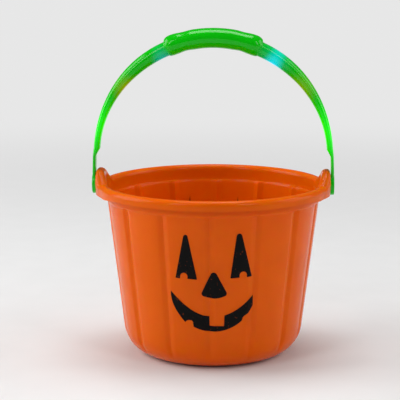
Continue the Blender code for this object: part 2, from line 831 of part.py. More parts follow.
def arm_route():
    """Where a lamp lead runs in an arm: past the blue lamp and the screw post, then behind the red lamp."""
    return [
        (GRIP_HALF_LENGTH, -LAMP_LANE, -SHOULDER_DEPTH),
        (BLUE_LAMP_PLACE + LAMP_LEAD_REACH, -blend(LAMP_LANE, ARM_LANE, 0.5), -blend(ARM_DEPTH, SHOULDER_DEPTH, 0.5)),
        (ARM_SCREW_PLACE, -ARM_LANE, -ARM_DEPTH),
        (RED_LAMP_PLACE + LAMP_LEAD_REACH, 0.0, -ARM_DEPTH),
        (GREEN_LAMP_PLACE - LAMP_LEAD_REACH, 0.0, -ARM_DEPTH + LAMP_LEAD_RADIUS),
    ]


def board_end(side):
    """The arch distance at which a lead ends beside the board's near or far end."""
    return SWITCH_PLACE + side * (BOARD_LENGTH / 2 + LEAD_END_GAP)


def left_lead_route():
    """From the board's near end under the battery and out into the left arm. Its distances are counted to the left."""
    start = -board_end(-1)
    return [
        (start, -LAMP_LANE, -LEAD_END_DEPTH),
        (start + LAMP_LEAD_REACH, -LAMP_LANE, -SHOULDER_DEPTH),
        (-BAY_MIDDLE - BAY_HALF_LENGTH, -LAMP_LANE, -GRIP_DEPTH_MAX),
        (-BAY_MIDDLE + BAY_HALF_LENGTH, -LAMP_LANE, -blend(SHOULDER_DEPTH, GRIP_DEPTH_MAX, 0.6)),
        (GRIP_SCREW_PLACE, -LAMP_LANE, -SHOULDER_DEPTH),
    ] + arm_route()


def right_lead_route():
    """From the board's far end out into the right arm."""
    start = board_end(1)
    return [
        (start, -LAMP_LANE, -LEAD_END_DEPTH),
        (start + LAMP_LEAD_REACH, -LAMP_LANE, -blend(LEAD_END_DEPTH, SHOULDER_DEPTH, 0.8)),
    ] + arm_route()


def black_lead_route():
    """From the spring's plate past the cells to the board."""
    start = BAY_MIDDLE - bay_reach() + CONTACT_THICKNESS + GAP + BATTERY_LEAD_RADIUS
    return [
        (start, CONTACT_WIDTH / 2, -BLACK_DEPTH),
        (start + LAMP_LEAD_REACH, blend(CONTACT_WIDTH / 2, BLACK_LANE, 0.8), -BLACK_DEPTH),
        (BAY_MIDDLE, BLACK_LANE, -BLACK_DEPTH),
        (bay_end(), BLACK_LANE, -BLACK_DEPTH),
        (board_end(-1) - LAMP_LEAD_REACH, blend(CONTACT_WIDTH / 2, BLACK_LANE, 0.4), -SHOULDER_DEPTH),
        (board_end(-1), CONTACT_WIDTH / 2, -LEAD_END_DEPTH),
    ]


def red_lead_route():
    """From the other plate through the bay's end wall to the board."""
    return [
        (BAY_MIDDLE + bay_reach() + BATTERY_LEAD_RADIUS + GAP, RED_LANE, -RED_DEPTH),
        (board_end(-1) - 2 * LAMP_LEAD_REACH, RED_LANE, -RED_DEPTH),
        (board_end(-1) - LAMP_LEAD_REACH, RED_LANE, -ARM_DEPTH),
        (board_end(-1), RED_LANE, -LEAD_END_DEPTH),
    ]


def route_at(route, side, s):
    """(rho, y) of a lead where it passes s."""
    fine = smooth_route(route, 0.0005)
    nearest = min(fine, key=lambda point: abs(side * point[0] - s))
    return nearest[1], nearest[2]


def lead_slots(route, side, radius, stations, collection):
    """Slots, open at the seam, for a lead in the walls that it crosses."""
    half = radius + LEAD_SLOT_MARGIN
    for s in stations:
        rho, y = route_at(route, side, s)
        low = (-BULKHEAD, y - half, rho - half)
        high = (BULKHEAD, LEAD_SLOT_TOP, rho + half)
        block(f"lead slot {s:.3f} {rho:.4f}", low, high, collection, arch_frame(s))


def make_cavities(cutters):
    """The hollows of the two shells, in three groups: shared, and the battery bay as the front and the back see it."""
    shared = new_collection("handle hollows", cutters)
    front_bay = new_collection("front half of the bay", cutters)
    back_bay = new_collection("back half of the bay", cutters)
    walls = bulkheads()
    cavity_end = arm_end() - ARM_TIP
    edges = [-cavity_end] + walls + [cavity_end]
    for start, end in zip(edges, edges[1:]):
        left = start + BULKHEAD / 2 if start in walls else start
        right = end - BULKHEAD / 2 if end in walls else end
        if left <= BAY_MIDDLE <= right:
            chamber("back bay", left, right, back_bay)
            chamber("front bay left", left, BAY_MIDDLE - BULKHEAD / 2, front_bay)
            chamber("front bay right", BAY_MIDDLE + BULKHEAD / 2, right, front_bay)
        else:
            chamber(f"chamber {left:.3f}", left, right, shared)
    for place in lamp_places().values():
        for side in (-1, 1):
            frame = arch_frame(side * place)
            start = frame @ Vector((-BULKHEAD, 0, 0))
            end = frame @ Vector((BULKHEAD, 0, 0))
            rod(f"lamp hole {side * place:.3f}", LAMP_RADIUS + PLAY / 2, start, end, shared, bore=True)
    cell_frame = arch_frame(BAY_MIDDLE, middle_rho(BAY_MIDDLE), CELL_DEPTH_PLACE)
    reach = BAY_HALF_LENGTH - GAP
    rod("cell space", CELL_RADIUS + PLAY, cell_frame @ Vector((-reach, 0, 0)), cell_frame @ Vector((reach, 0, 0)),
        front_bay, TURNED_STEPS, bore=True)
    lamp_walls = [BLUE_LAMP_PLACE, RED_LAMP_PLACE]
    bay_walls = [bay_start() - BULKHEAD / 2, BAY_MIDDLE, bay_end() + BULKHEAD / 2]
    left_walls = [-place for place in lamp_walls] + bay_walls
    lead_slots(left_lead_route(), -1, LAMP_LEAD_RADIUS, left_walls, front_bay)
    lead_slots(right_lead_route(), 1, LAMP_LEAD_RADIUS, lamp_walls, front_bay)
    lead_slots(black_lead_route(), 1, BATTERY_LEAD_RADIUS, bay_walls[1:], front_bay)
    lead_slots(red_lead_route(), 1, BATTERY_LEAD_RADIUS, bay_walls[2:], front_bay)
    return shared, front_bay, back_bay


def strap_end(side, collection):
    """The round end of a strap with its split snap peg, turned about the pivot axis."""
    inner = ear_face() + GAP
    outer = inner + STRAP_THICKNESS
    head = ear_face() - PAIL_WALL - GAP
    tip = head - BARB_LENGTH
    profile = [
        (0, outer),
        (STRAP_END_RADIUS - STRAP_END_CHAMFER, outer),
        (STRAP_END_RADIUS, outer - STRAP_END_CHAMFER),
        (STRAP_END_RADIUS, inner),
        (PEG_RADIUS, inner),
        (PEG_RADIUS, head),
        (BARB_RADIUS, head),
        (BARB_TIP_RADIUS, tip),
        (0, tip),
    ]
    frame = Matrix.Translation((0, 0, pivot_height())) @ Matrix.Rotation(side * math.pi / 2, 4, "Y")
    end = turned(f"strap end {side}", profile, collection, frame, steps=STRAP_END_STEPS)
    slot = block(f"peg slot {side}", (-STRAP_END_RADIUS / 2, -PEG_SLOT / 2, tip - GAP),
                 (STRAP_END_RADIUS / 2, PEG_SLOT / 2, inner - GAP), collection, frame)
    boolean(end, "DIFFERENCE", slot)
    mesh = applied_mesh(end, f"strap end {side}")
    bpy.data.objects.remove(slot)
    placed = add_object(f"strap end {side}", mesh, collection)
    placed.matrix_world = frame
    return placed


def screw_seat(s):
    """The y of the face that a case screw's head bears on."""
    return handle_section(s)[2] - HEAD_RECESS


def make_back_posts(collection):
    """Screw posts of the back shell and the two shelves under the battery door."""
    for s in case_screw_places():
        top = handle_section(s)[2] - HANDLE_WALL
        local_rod(f"back post {s:.3f}", s, BACK_POST_RADIUS, SEAM / 2, top, collection, steps=TURNED_STEPS)
    shelf_top = DOOR_UNDERSIDE - GAP
    shelf_low = shelf_top - SHELF_THICKNESS
    for name, start, end in (
        ("screw shelf", DOOR_OUTER_END - SHELF_MARGIN, bay_start() - BULKHEAD / 2),
        ("inner shelf", bay_end() + BULKHEAD / 2, DOOR_INNER_END + SHELF_MARGIN),
    ):
        half = (end - start) / 2
        local_box(name, (start + end) / 2, (-half, shelf_low, -SHELF_HALF_WIDTH),
                  (half, shelf_top, SHELF_HALF_WIDTH), collection)


def curved_box(name, start, end, y_from, y_to, half_width, collection):
    """A box that bends with the arch, round the middle of the grip."""
    count = 5
    rings = []
    for i in range(count):
        frame = arch_frame(blend(start, end, i / (count - 1)), GRIP_SHIFT)
        corners = [(y_from, -half_width), (y_to, -half_width), (y_to, half_width), (y_from, half_width)]
        rings.append([frame @ Vector((0, y, rho)) for y, rho in corners])
    return loft(name, rings, collection)


def make_back_openings(collection):
    """Screw holes, the door's opening and the button's hole in the back shell."""
    outside = GRIP_DEPTH
    for s in case_screw_places():
        local_rod(f"case shank hole {s:.3f}", s, SHANK_HOLE_RADIUS, -SEAM, outside, collection, bore=True)
        local_rod(f"case head hole {s:.3f}", s, HEAD_RADIUS + PLAY, screw_seat(s), outside, collection, bore=True)
    opening = DOOR_HALF_WIDTH + PLAY
    curved_box("door opening", DOOR_OUTER_END - PLAY, DOOR_INNER_END + PLAY, DOOR_UNDERSIDE - GAP, outside,
               opening, collection)
    curved_box("cell opening", bay_start(), bay_end(), 0.0, outside, opening, collection)
    local_rod("door shank hole", DOOR_SCREW_PLACE, SHANK_HOLE_RADIUS, SEAM, outside, collection, bore=True)
    local_rod("button hole", SWITCH_PLACE, BUTTON_RADIUS + PLAY, CELL_RADIUS, outside, collection,
              steps=TURNED_STEPS, bore=True)


def make_front_posts(collection):
    """Screw posts of the front shell and the two posts that the circuit board stands on."""
    for s in case_screw_places():
        foot = -handle_section(s)[2] + HANDLE_WALL / 2
        local_rod(f"front post {s:.3f}", s, FRONT_POST_RADIUS, foot, -SEAM / 2, collection)
    board_front = BOARD_BACK - BOARD_THICKNESS - GAP
    for along in (-BOARD_POST_SPACING / 2, BOARD_POST_SPACING / 2):
        local_rod(f"board post {along:.3f}", SWITCH_PLACE, BOARD_POST_RADIUS, -GRIP_DEPTH / 2 + HANDLE_WALL / 2,
                  board_front, collection, along=along)


def make_handle_shells(collection, cutters, material):
    """The two halves of the handle, cut from one lofted form at the seam plane."""
    shared, front_bay, back_bay = make_cavities(cutters)
    ends = new_collection("strap ends", cutters)
    for side in (-1, 1):
        strap_end(side, ends)
    back_posts = new_collection("back posts", cutters)
    make_back_posts(back_posts)
    back_openings = new_collection("back openings", cutters)
    make_back_openings(back_openings)
    front_posts = new_collection("front posts", cutters)
    make_front_posts(front_posts)
    front_holes = new_collection("front holes", cutters)
    for s in case_screw_places():
        floor = -handle_section(s)[2] + 2 * HANDLE_WALL
        local_rod(f"front shank hole {s:.3f}", s, SHANK_HOLE_RADIUS, floor, SEAM, front_holes, bore=True)

    rings = [handle_ring(s, 0.0, HANDLE_SIDES) for s in handle_stations()]
    wide = 2 * rim_radius()
    split_height = pivot_height() + SHELL_END
    top = split_height + wide
    front_side = block("front side", (-wide, -wide, split_height), (wide, SEAM / 2, top), cutters)
    front_keep = block("front keep", (-wide, -wide, split_height + GAP), (wide, -SEAM / 2, top), cutters)

    back = loft("handle_back_shell", rings, collection, material)
    boolean(back, "DIFFERENCE", shared)
    boolean(back, "DIFFERENCE", back_bay)
    boolean(back, "DIFFERENCE", front_side)
    boolean(back, "UNION", ends)
    boolean(back, "UNION", back_posts)
    boolean(back, "DIFFERENCE", back_openings)

    front = loft("handle_front_shell", rings, collection, material)
    boolean(front, "DIFFERENCE", shared)
    boolean(front, "INTERSECT", front_keep)
    boolean(front, "DIFFERENCE", front_bay)
    boolean(front, "UNION", front_posts)
    boolean(front, "DIFFERENCE", front_holes)
    return back, front


def make_door(collection, cutters, material):
    """The battery door: the piece of the grip's own skin that fills the opening, with a solid block at each end."""
    inside = [s for s in handle_stations() if DOOR_OUTER_END - 0.01 < s < DOOR_INNER_END + 0.01]
    door = loft("battery_door", [handle_ring(s, 0.0, HANDLE_SIDES) for s in inside], collection, material)
    keep = curved_box("door keep", DOOR_OUTER_END, DOOR_INNER_END, DOOR_UNDERSIDE, GRIP_DEPTH, DOOR_HALF_WIDTH,
                      cutters)
    hollow = chamber("door hollow", bay_start() + GAP, bay_end() - GAP, cutters)
    shank = local_rod("door clearance", DOOR_SCREW_PLACE, SHANK_HOLE_RADIUS, SEAM, GRIP_DEPTH, cutters, bore=True)
    head = local_rod("door counterbore", DOOR_SCREW_PLACE, HEAD_RADIUS + PLAY, screw_seat(DOOR_SCREW_PLACE),
                     GRIP_DEPTH, cutters, bore=True)
    boolean(door, "INTERSECT", keep)
    for cutter in (hollow, shank, head):
        boolean(door, "DIFFERENCE", cutter)
    return door


# Pieces inside the handle


def facing_back(s, y):
    """A frame at s whose Z points out of the back of the handle, so a turned piece there stands along Y."""
    return arch_frame(s, middle_rho(s), y) @ Matrix.Rotation(-math.pi / 2, 4, "X")


def facing_along(s, side, along=0.0, y=0.0):
    """A frame at s whose Z runs along the arch, away from the grip for side 1 on +X and side -1 on -X."""
    frame = arch_frame(s, middle_rho(s), y) @ Matrix.Translation((along, 0, 0))
    return frame @ Matrix.Rotation(side * math.pi / 2, 4, "Y")


def make_screw(name, s, length, collection, material):
    """A pan head screw with a cross recess, its head's bearing face at its own origin and its head towards +Z."""
    profile = [
        (0, HEAD_THICKNESS),
        (HEAD_RADIUS * 0.62, HEAD_THICKNESS * 0.92),
        (HEAD_RADIUS, HEAD_THICKNESS * 0.45),
        (HEAD_RADIUS, 0),
        (SHANK_RADIUS, 0),
        (SHANK_RADIUS, -length + 2 * SHANK_RADIUS),
        (0, -length),
    ]
    screw = turned(name + " blank", profile, collection, steps=SMALL_STEPS)
    arms = []
    for turn in (0, 90):
        low = (-RECESS_LENGTH / 2, -RECESS_WIDTH / 2, HEAD_THICKNESS - RECESS_DEPTH)
        high = (RECESS_LENGTH / 2, RECESS_WIDTH / 2, HEAD_THICKNESS + RECESS_DEPTH)
        arms.append(block(f"{name} recess {turn}", low, high, collection, Matrix.Rotation(math.radians(turn), 4, "Z")))
        boolean(screw, "DIFFERENCE", arms[-1])
    mesh = applied_mesh(screw, name)
    for arm in arms:
        bpy.data.objects.remove(arm)
    placed = add_object(name, mesh, collection, material)
    placed.matrix_world = facing_back(s, screw_seat(s) + GAP)
    return placed


def make_lamp(name, s, side, collection, material):
    """A small round lamp: domed lens, flange and two legs. The flange lies against its bulkhead."""
    dome = [(LAMP_RADIUS * math.cos(a), LAMP_BARREL + LAMP_RADIUS * math.sin(a))
            for a in (math.pi / 2, math.pi / 3, math.pi / 6, 0)]
    dome[0] = (0, LAMP_BARREL + LAMP_RADIUS)
    profile = dome + [
        (LAMP_RADIUS, -GAP),
        (LAMP_FLANGE_RADIUS, -GAP),
        (LAMP_FLANGE_RADIUS, -GAP - LAMP_FLANGE),
        (0, -GAP - LAMP_FLANGE),
    ]
    lamp = turned(name + " lens", profile, collection, steps=SMALL_STEPS)
    legs = []
    for place in (-LAMP_LEG_SPACING, LAMP_LEG_SPACING):
        low = (-LAMP_LEG / 2, place - LAMP_LEG / 2, -GAP - LAMP_FLANGE - LAMP_LEG_LENGTH)
        high = (LAMP_LEG / 2, place + LAMP_LEG / 2, -LAMP_FLANGE)
        legs.append(block(f"{name} leg {place}", low, high, collection))
        boolean(lamp, "UNION", legs[-1])
    mesh = applied_mesh(lamp, name)
    for leg in legs:
        bpy.data.objects.remove(leg)
    placed = add_object(name, mesh, collection, material)
    placed.matrix_world = facing_along(s, side, along=-side * BULKHEAD / 2)
    return placed


def make_lamps(collection, materials):
    for colour, place in lamp_places().items():
        for side, word in ((-1, "left"), (1, "right")):
            make_lamp(f"{colour}_lamp_{word}", side * place, side, collection, materials[colour])


def make_battery(collection, materials):
    """Three button cells in a row, a coil spring and two contact plates, all along the bay's own axis."""
    first = bay_reach() - GAP - CONTACT_THICKNESS
    body = CELL_THICKNESS - CELL_CAP
    profile = [
        (0, body),
        (CELL_RADIUS - 0.0003, body),
        (CELL_RADIUS, body - 0.0003),
        (CELL_RADIUS, 0),
        (CELL_CAP_RADIUS, 0),
        (CELL_CAP_RADIUS, -CELL_CAP),
        (0, -CELL_CAP),
    ]
    for i in range(3):
        along = first - body - i * (CELL_THICKNESS + GAP)
        frame = facing_along(BAY_MIDDLE, 1, along=along, y=CELL_DEPTH_PLACE)
        turned(f"button_cell_{i + 1}", profile, collection, frame, materials["cell"], steps=TURNED_STEPS)
    for name, side in (("contact_plate_positive", 1), ("contact_plate_negative", -1)):
        outer = side * bay_reach()
        inner = outer - side * CONTACT_THICKNESS
        local_box(name, BAY_MIDDLE, (min(inner, outer), CONTACT_BOTTOM, -CONTACT_WIDTH / 2),
                  (max(inner, outer), CONTACT_TOP, CONTACT_WIDTH / 2), collection, materials["contact"])
    spring_base = -first + SPRING_WIRE_RADIUS
    spring_tip = first - 3 * CELL_THICKNESS - 3 * GAP - SPRING_WIRE_RADIUS
    frame = arch_frame(BAY_MIDDLE, middle_rho(BAY_MIDDLE), CELL_DEPTH_PLACE)
    count = round(SPRING_TURNS * 12)
    points = []
    for i in range(count + 1):
        share = i / count
        turn = 2 * math.pi * SPRING_TURNS * share
        radius = blend(SPRING_BASE_RADIUS, SPRING_TIP_RADIUS, share)
        along = blend(spring_base, spring_tip, share)
        points.append(frame @ Vector((along, radius * math.cos(turn), radius * math.sin(turn))))
    wire("battery_spring", points, SPRING_WIRE_RADIUS, collection, materials["spring"])


def make_leads(collection, materials):
    """The insulated leads, each on a smooth curve through its route."""
    for name, route, side, radius, material in (
        ("lamp_lead_left", left_lead_route(), -1, LAMP_LEAD_RADIUS, materials["grey_lead"]),
        ("lamp_lead_right", right_lead_route(), 1, LAMP_LEAD_RADIUS, materials["grey_lead"]),
        ("battery_lead_black", black_lead_route(), 1, BATTERY_LEAD_RADIUS, materials["black_lead"]),
        ("battery_lead_red", red_lead_route(), 1, BATTERY_LEAD_RADIUS, materials["red_lead"]),
    ):
        step = LEAD_STEP if len(route) > 4 else LEAD_STEP / 2
        points = [arch_frame(side * s, rho, y).translation for s, rho, y in smooth_route(route, step)]
        wire(name, points, radius, collection, material)


def make_electronics(collection, materials):
    """Circuit board, resin drop, switch body with its sliding stem, and the push button."""
    board_front = BOARD_BACK - BOARD_THICKNESS
    local_box("circuit_board", SWITCH_PLACE, (-BOARD_LENGTH / 2, board_front, -BOARD_WIDTH / 2),
              (BOARD_LENGTH / 2, BOARD_BACK, BOARD_WIDTH / 2), collection, materials["board"])
    chip_foot = BOARD_BACK + GAP
    dome = [(CHIP_RADIUS * math.cos(a), CHIP_HEIGHT * math.sin(a)) for a in (math.pi / 3, math.pi / 6, 0)]
    chip_frame = facing_back(SWITCH_PLACE, chip_foot) @ Matrix.Translation((CHIP_OFFSET, 0, 0))
    turned("control_chip", [(0, CHIP_HEIGHT)] + dome + [(0, 0)], collection, chip_frame, materials["resin"],
           steps=SMALL_STEPS)

    half = SWITCH_SIZE / 2
    switch_foot = BOARD_BACK + GAP
    switch = local_box("switch_body", SWITCH_PLACE, (-half, switch_foot, -half),
                       (half, switch_foot + SWITCH_HEIGHT, half), collection, materials["switch"])
    bore = local_rod("stem bore", SWITCH_PLACE, STEM_RADIUS + PLAY, switch_foot + STEM_BORE_FLOOR,
                     switch_foot + 2 * SWITCH_HEIGHT, collection, bore=True)
    boolean(switch, "DIFFERENCE", bore)
    mesh = applied_mesh(switch, "switch_body")
    bpy.data.objects.remove(bore)
    placed = add_object("switch_body", mesh, collection)
    placed.matrix_world = arch_frame(SWITCH_PLACE, middle_rho(SWITCH_PLACE))

    stem_foot = switch_foot + STEM_BORE_FLOOR + GAP + BUTTON_TRAVEL
    stem_top = BUTTON_SKIRT - GAP - stem_foot
    profile = [(0, stem_top), (STEM_RADIUS - GAP, stem_top), (STEM_RADIUS, stem_top - GAP), (STEM_RADIUS, 0), (0, 0)]
    turned("switch_stem", profile, collection, facing_back(SWITCH_PLACE, stem_foot), materials["stem"],
           steps=SMALL_STEPS)

    height = handle_section(SWITCH_PLACE)[2] + BUTTON_PROUD - BUTTON_SKIRT
    edge = BUTTON_RADIUS - 0.0006
    profile = [(0, height), (edge * 0.62, height - 0.0003), (edge, height - 0.0009), (BUTTON_RADIUS, height - 0.0018),
               (BUTTON_RADIUS, 0), (0, 0)]
    button = turned("button blank", profile, collection, steps=TURNED_STEPS)
    wings = block("button wings", (-BUTTON_WING_LENGTH, -BUTTON_WING_WIDTH, 0),
                  (BUTTON_WING_LENGTH, BUTTON_WING_WIDTH, BUTTON_WING), collection)
    boolean(button, "UNION", wings)
    mesh = applied_mesh(button, "push_button")
    bpy.data.objects.remove(wings)
    placed = add_object("push_button", mesh, collection, materials["button"])
    placed.matrix_world = facing_back(SWITCH_PLACE, BUTTON_SKIRT)


def hang_on_pivot(collection, pail_names):
    """An empty on the pivot axis carries every piece of the handle."""
    pivot = bpy.data.objects.new("handle pivot", None)
    pivot.location = (0, 0, pivot_height())
    pivot.empty_display_size = STRAP_END_RADIUS
    collection.objects.link(pivot)
    for obj in list(collection.objects):
        if obj is pivot or obj.name in pail_names:
            continue
        obj.parent = pivot
        obj.matrix_parent_inverse = Matrix.Translation((0, 0, pivot_height())).inverted()


def main():
    clear_scene()
    parts = new_collection("light-up trick-or-treat bucket")
    cutters = new_collection("cutters")
    orange = plastic("orange plastic", (0.90, 0.20, 0.01), 0.32)
    green = plastic("green plastic", (0.01, 0.60, 0.02), 0.28, transmission=0.3)
    ink = plastic("black ink", (0.012, 0.012, 0.012), 0.45)
    materials = {
        "blue": plastic("blue lens", (0.05, 0.55, 1.0), 0.15, emission=2.0),
        "red": plastic("red lens", (1.0, 0.25, 0.04), 0.15, emission=2.0),
        "green": plastic("green lens", (0.05, 1.0, 0.10), 0.15, emission=2.0),
        "cell": plastic("nickel plate", (0.70, 0.70, 0.68), 0.25, metallic=1.0),
        "contact": plastic("plated steel", (0.62, 0.62, 0.60), 0.35, metallic=1.0),
        "spring": plastic("spring steel", (0.50, 0.50, 0.52), 0.30, metallic=1.0),
        "screw": plastic("zinc plated steel", (0.60, 0.60, 0.62), 0.30, metallic=1.0),
        "board": plastic("board laminate", (0.03, 0.20, 0.07), 0.40),
        "resin": plastic("black resin", (0.01, 0.01, 0.01), 0.35),
        "switch": plastic("switch body plastic", (0.03, 0.03, 0.03), 0.45),
        "stem": plastic("switch stem plastic", (0.80, 0.80, 0.78), 0.40),
        "button": plastic("button plastic", (0.01, 0.45, 0.03), 0.35),
        "grey_lead": plastic("grey insulation", (0.35, 0.35, 0.36), 0.50),
        "black_lead": plastic("black insulation", (0.02, 0.02, 0.02), 0.50),
        "red_lead": plastic("red insulation", (0.65, 0.03, 0.02), 0.50),
    }
    make_face(parts, cutters, ink)
    pail_names = {"bucket_shell"} | {obj.name for obj in parts.objects}

    make_electronics(parts, materials)
    make_battery(parts, materials)
    make_lamps(parts, materials)
    make_leads(parts, materials)
    for i, s in enumerate(case_screw_places()):
        length = screw_seat(s) + GAP + SCREW_REACH
        make_screw(f"case_screw_{i + 1}", s, length, parts, materials["screw"])
    door_length = screw_seat(DOOR_SCREW_PLACE) + GAP - DOOR_SHANK_END
    make_screw("battery_door_screw", DOOR_SCREW_PLACE, door_length, parts, materials["screw"])
    make_handle_shells(parts, cutters, green)
    make_door(parts, cutters, green)
    make_pail(parts, cutters, orange)
    hang_on_pivot(parts, pail_names)
    for obj in cutters.all_objects:
        as_cutter(obj)


main()
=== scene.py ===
# %% [markdown]
# # A light-up trick-or-treat bucket
# The real thing is a thin orange pail, moulded with pumpkin lobes and printed with a cut-pumpkin face. A green
# handle snaps into its two ears and hides cells, a push switch and six small lamps.
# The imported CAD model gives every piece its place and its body. This lesson builds the fine skin over it, one
# piece at a time, and then gives each piece its finish.

# %% Load the frame
import math

import bmesh
import bpy
from mathutils import Matrix, Vector


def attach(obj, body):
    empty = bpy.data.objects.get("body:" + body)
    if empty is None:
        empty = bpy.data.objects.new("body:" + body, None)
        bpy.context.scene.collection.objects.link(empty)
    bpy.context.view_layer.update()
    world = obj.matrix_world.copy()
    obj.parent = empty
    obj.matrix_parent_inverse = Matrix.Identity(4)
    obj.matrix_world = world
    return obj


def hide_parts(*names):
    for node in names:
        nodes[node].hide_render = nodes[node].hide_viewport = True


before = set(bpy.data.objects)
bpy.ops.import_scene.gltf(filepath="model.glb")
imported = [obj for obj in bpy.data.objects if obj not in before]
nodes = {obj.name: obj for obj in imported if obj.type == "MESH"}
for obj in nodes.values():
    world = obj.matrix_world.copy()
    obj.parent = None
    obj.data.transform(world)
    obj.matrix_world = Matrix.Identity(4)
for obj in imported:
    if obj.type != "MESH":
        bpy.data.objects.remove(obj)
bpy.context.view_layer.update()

# %% [markdown]
# ## Sizes of the pail
# The sizes repeat those of the part's source, in metres, because this script can't read that file. The origin is the
# middle of the pail's base, the face looks along -Y and the handle turns about X. Radii of the wall and heights
# are those of the outer side. GAP is the clearance that two pieces keep where they don't touch.

# %% Sizes of the pail
GAP = 0.0003
WALL = 0.0015
HEIGHT = 0.1524
LEDGE_HEIGHT = 0.1375
BASE_RADIUS = 0.0764
TOP_RADIUS = 0.0935
CORNER_RADIUS = 0.0267
COLLAR_RADIUS = 0.0931
RIM_RADIUS = 0.1015
SKIRT_HEIGHT = 0.1444
EAR_FACE = 0.1031
PIVOT_HEIGHT = 0.1505
LOBES = 14
COLUMNS_PER_LOBE = 40
COLUMNS = LOBES * COLUMNS_PER_LOBE
print(f"pail {HEIGHT * 1000:.1f} mm high, {2 * RIM_RADIUS * 1000:.0f} mm over the rim, {COLUMNS} columns of faces")

# %% [markdown]
# ## The view
# The photograph was fitted before modelling: its camera stands 1.4 m from the pail's axis, 0.39 m up, and looks
# down by about ten degrees through a long lens. The object is turned by two degrees in it, so here the camera
# goes round by those two degrees instead. The pail doesn't stand in the middle of the picture, so the camera also
# looks a little to one side.

# %% Camera
DISTANCE = 1.4
CAMERA_HEIGHT = 0.3913
CAMERA_TURN = math.radians(2.1)
LOOK_DOWN = 10.345
LOOK_ASIDE = math.radians(0.474)
camera_data = bpy.data.cameras.new("photograph view")
camera_data.sensor_width = 36.0
camera_data.lens = 144.56
camera_data.clip_end = 100.0
camera = bpy.data.objects.new("photograph view", camera_data)
bpy.context.scene.collection.objects.link(camera)
camera.location = (DISTANCE * math.sin(CAMERA_TURN), -DISTANCE * math.cos(CAMERA_TURN), CAMERA_HEIGHT)
camera.rotation_euler = (math.radians(90 - LOOK_DOWN), 0, CAMERA_TURN + LOOK_ASIDE)
bpy.context.scene.camera = camera
print("camera at", [round(c, 3) for c in camera.location])

# %% [markdown]
# ## Working by operator
# Most pieces below are made as by hand: a primitive is added, its points are picked by their place, and the edit
# operators move, scale and extrude them. An operator acts on whatever is selected, so each helper starts by
# deselecting everything. Points and faces are picked by a rule about their place, as a box selection would do,
# and the rule keeps working when a size changes.

# %% Helpers for selecting


def only(obj):
    """Make obj the one selected and active object."""
    bpy.ops.object.select_all(action="DESELECT")
    obj.select_set(True)
    bpy.context.view_layer.objects.active = obj
    return obj


def named(name):
    """Name the primitive just added, and move its place into its mesh."""
    obj = bpy.context.active_object
    obj.name = name
    obj.data.name = name
    only(obj)
    bpy.ops.object.transform_apply(location=True, rotation=True, scale=True)
    return obj


def edit(obj):
    """Open obj in edit mode."""
    only(obj)
    bpy.ops.object.mode_set(mode="EDIT")


def leave():
    """Go back to object mode."""
    bpy.ops.object.mode_set(mode="OBJECT")


def outwards():
    """In edit mode, turn every face outwards."""
    bpy.ops.mesh.select_all(action="SELECT")
    bpy.ops.mesh.normals_make_consistent(inside=False)


def placed(obj, matrix):
    """Put obj in its place, and move that place into its mesh."""
    obj.matrix_world = matrix
    only(obj)
    bpy.ops.object.transform_apply(location=True, rotation=True, scale=True)
    return obj


def copied(obj, name):
    """A copy of obj under a name of its own."""
    only(obj)
    bpy.ops.object.duplicate()
    copy = bpy.context.active_object
    copy.name = name
    return copy


def pick(rule):
    """In edit mode, select exactly the points whose place passes the rule."""
    bpy.ops.mesh.select_mode(type="VERT")
    data = bpy.context.edit_object.data
    mesh = bmesh.from_edit_mesh(data)
    for face in mesh.faces:
        face.select = False
    for edge in mesh.edges:
        edge.select = False
    for point in mesh.verts:
        point.select = bool(rule(point.co)) and not point.hide
    mesh.select_flush_mode()
    bmesh.update_edit_mesh(data)


def pick_faces(rule):
    """In edit mode, select exactly the faces that pass the rule, given as middle and normal."""
    bpy.ops.mesh.select_mode(type="FACE")
    data = bpy.context.edit_object.data
    mesh = bmesh.from_edit_mesh(data)
    for face in mesh.faces:
        face.select = not face.hide and bool(rule(face.calc_center_median(), face.normal))
    mesh.select_flush_mode()
    bmesh.update_edit_mesh(data)


def hide(rule):
    """In edit mode, hide the points that pass the rule, so that soft moves leave them alone."""
    pick(rule)
    bpy.ops.mesh.hide(unselected=False)


print("selecting by rule is ready")

# %% [markdown]
# ## Soft moves
# Soft forms such as lobes and ears are pulled out of a round body with proportional editing: what is picked moves
# by the full amount, and its surroundings follow less and less over a reach. Clay gives in the same way under a
# thumb.

# %% Helpers for soft moves


def soft_move(move, reach):
    """Move what is picked, and draw its surroundings along over the reach."""
    bpy.ops.transform.translate(value=move, use_proportional_edit=True, proportional_edit_falloff="SMOOTH",
                                proportional_size=reach)


def soft_scale(share, centre, reach, falloff="SMOOTH"):
    """Scale what is picked about a centre, and draw its surroundings along over the reach."""
    bpy.ops.transform.resize(value=share, center_override=centre, use_proportional_edit=True,
                             proportional_edit_falloff=falloff, proportional_size=reach)


print("soft moves are ready")

# %% [markdown]
# ## Cutting, joining and smoothing
# Holes, posts and openings are made as in a workshop: a simple tool body is put in place, and a boolean modifier
# cuts it away or joins it. The modifier is applied at once, because a finished piece shouldn't depend on a tool
# that is no longer there. Smooth shading goes on last, with an angle above which an edge stays sharp.

# %% Helpers for shaping


def apply(obj, kind, **settings):
    """Add a modifier, set it and apply it."""
    only(obj)
    modifier = obj.modifiers.new(kind.lower(), kind)
    for key, value in settings.items():
        setattr(modifier, key, value)
    bpy.ops.object.modifier_apply(modifier=modifier.name)
    return obj


def carve(target, tool, operation="DIFFERENCE"):
    """Cut, join or intersect target with the tool, which is used up."""
    apply(target, "BOOLEAN", operation=operation, object=tool, solver="EXACT")
    print("   ", target.name, operation.lower(), tool.name, len(target.data.polygons))
    bpy.data.objects.remove(tool)
    return target


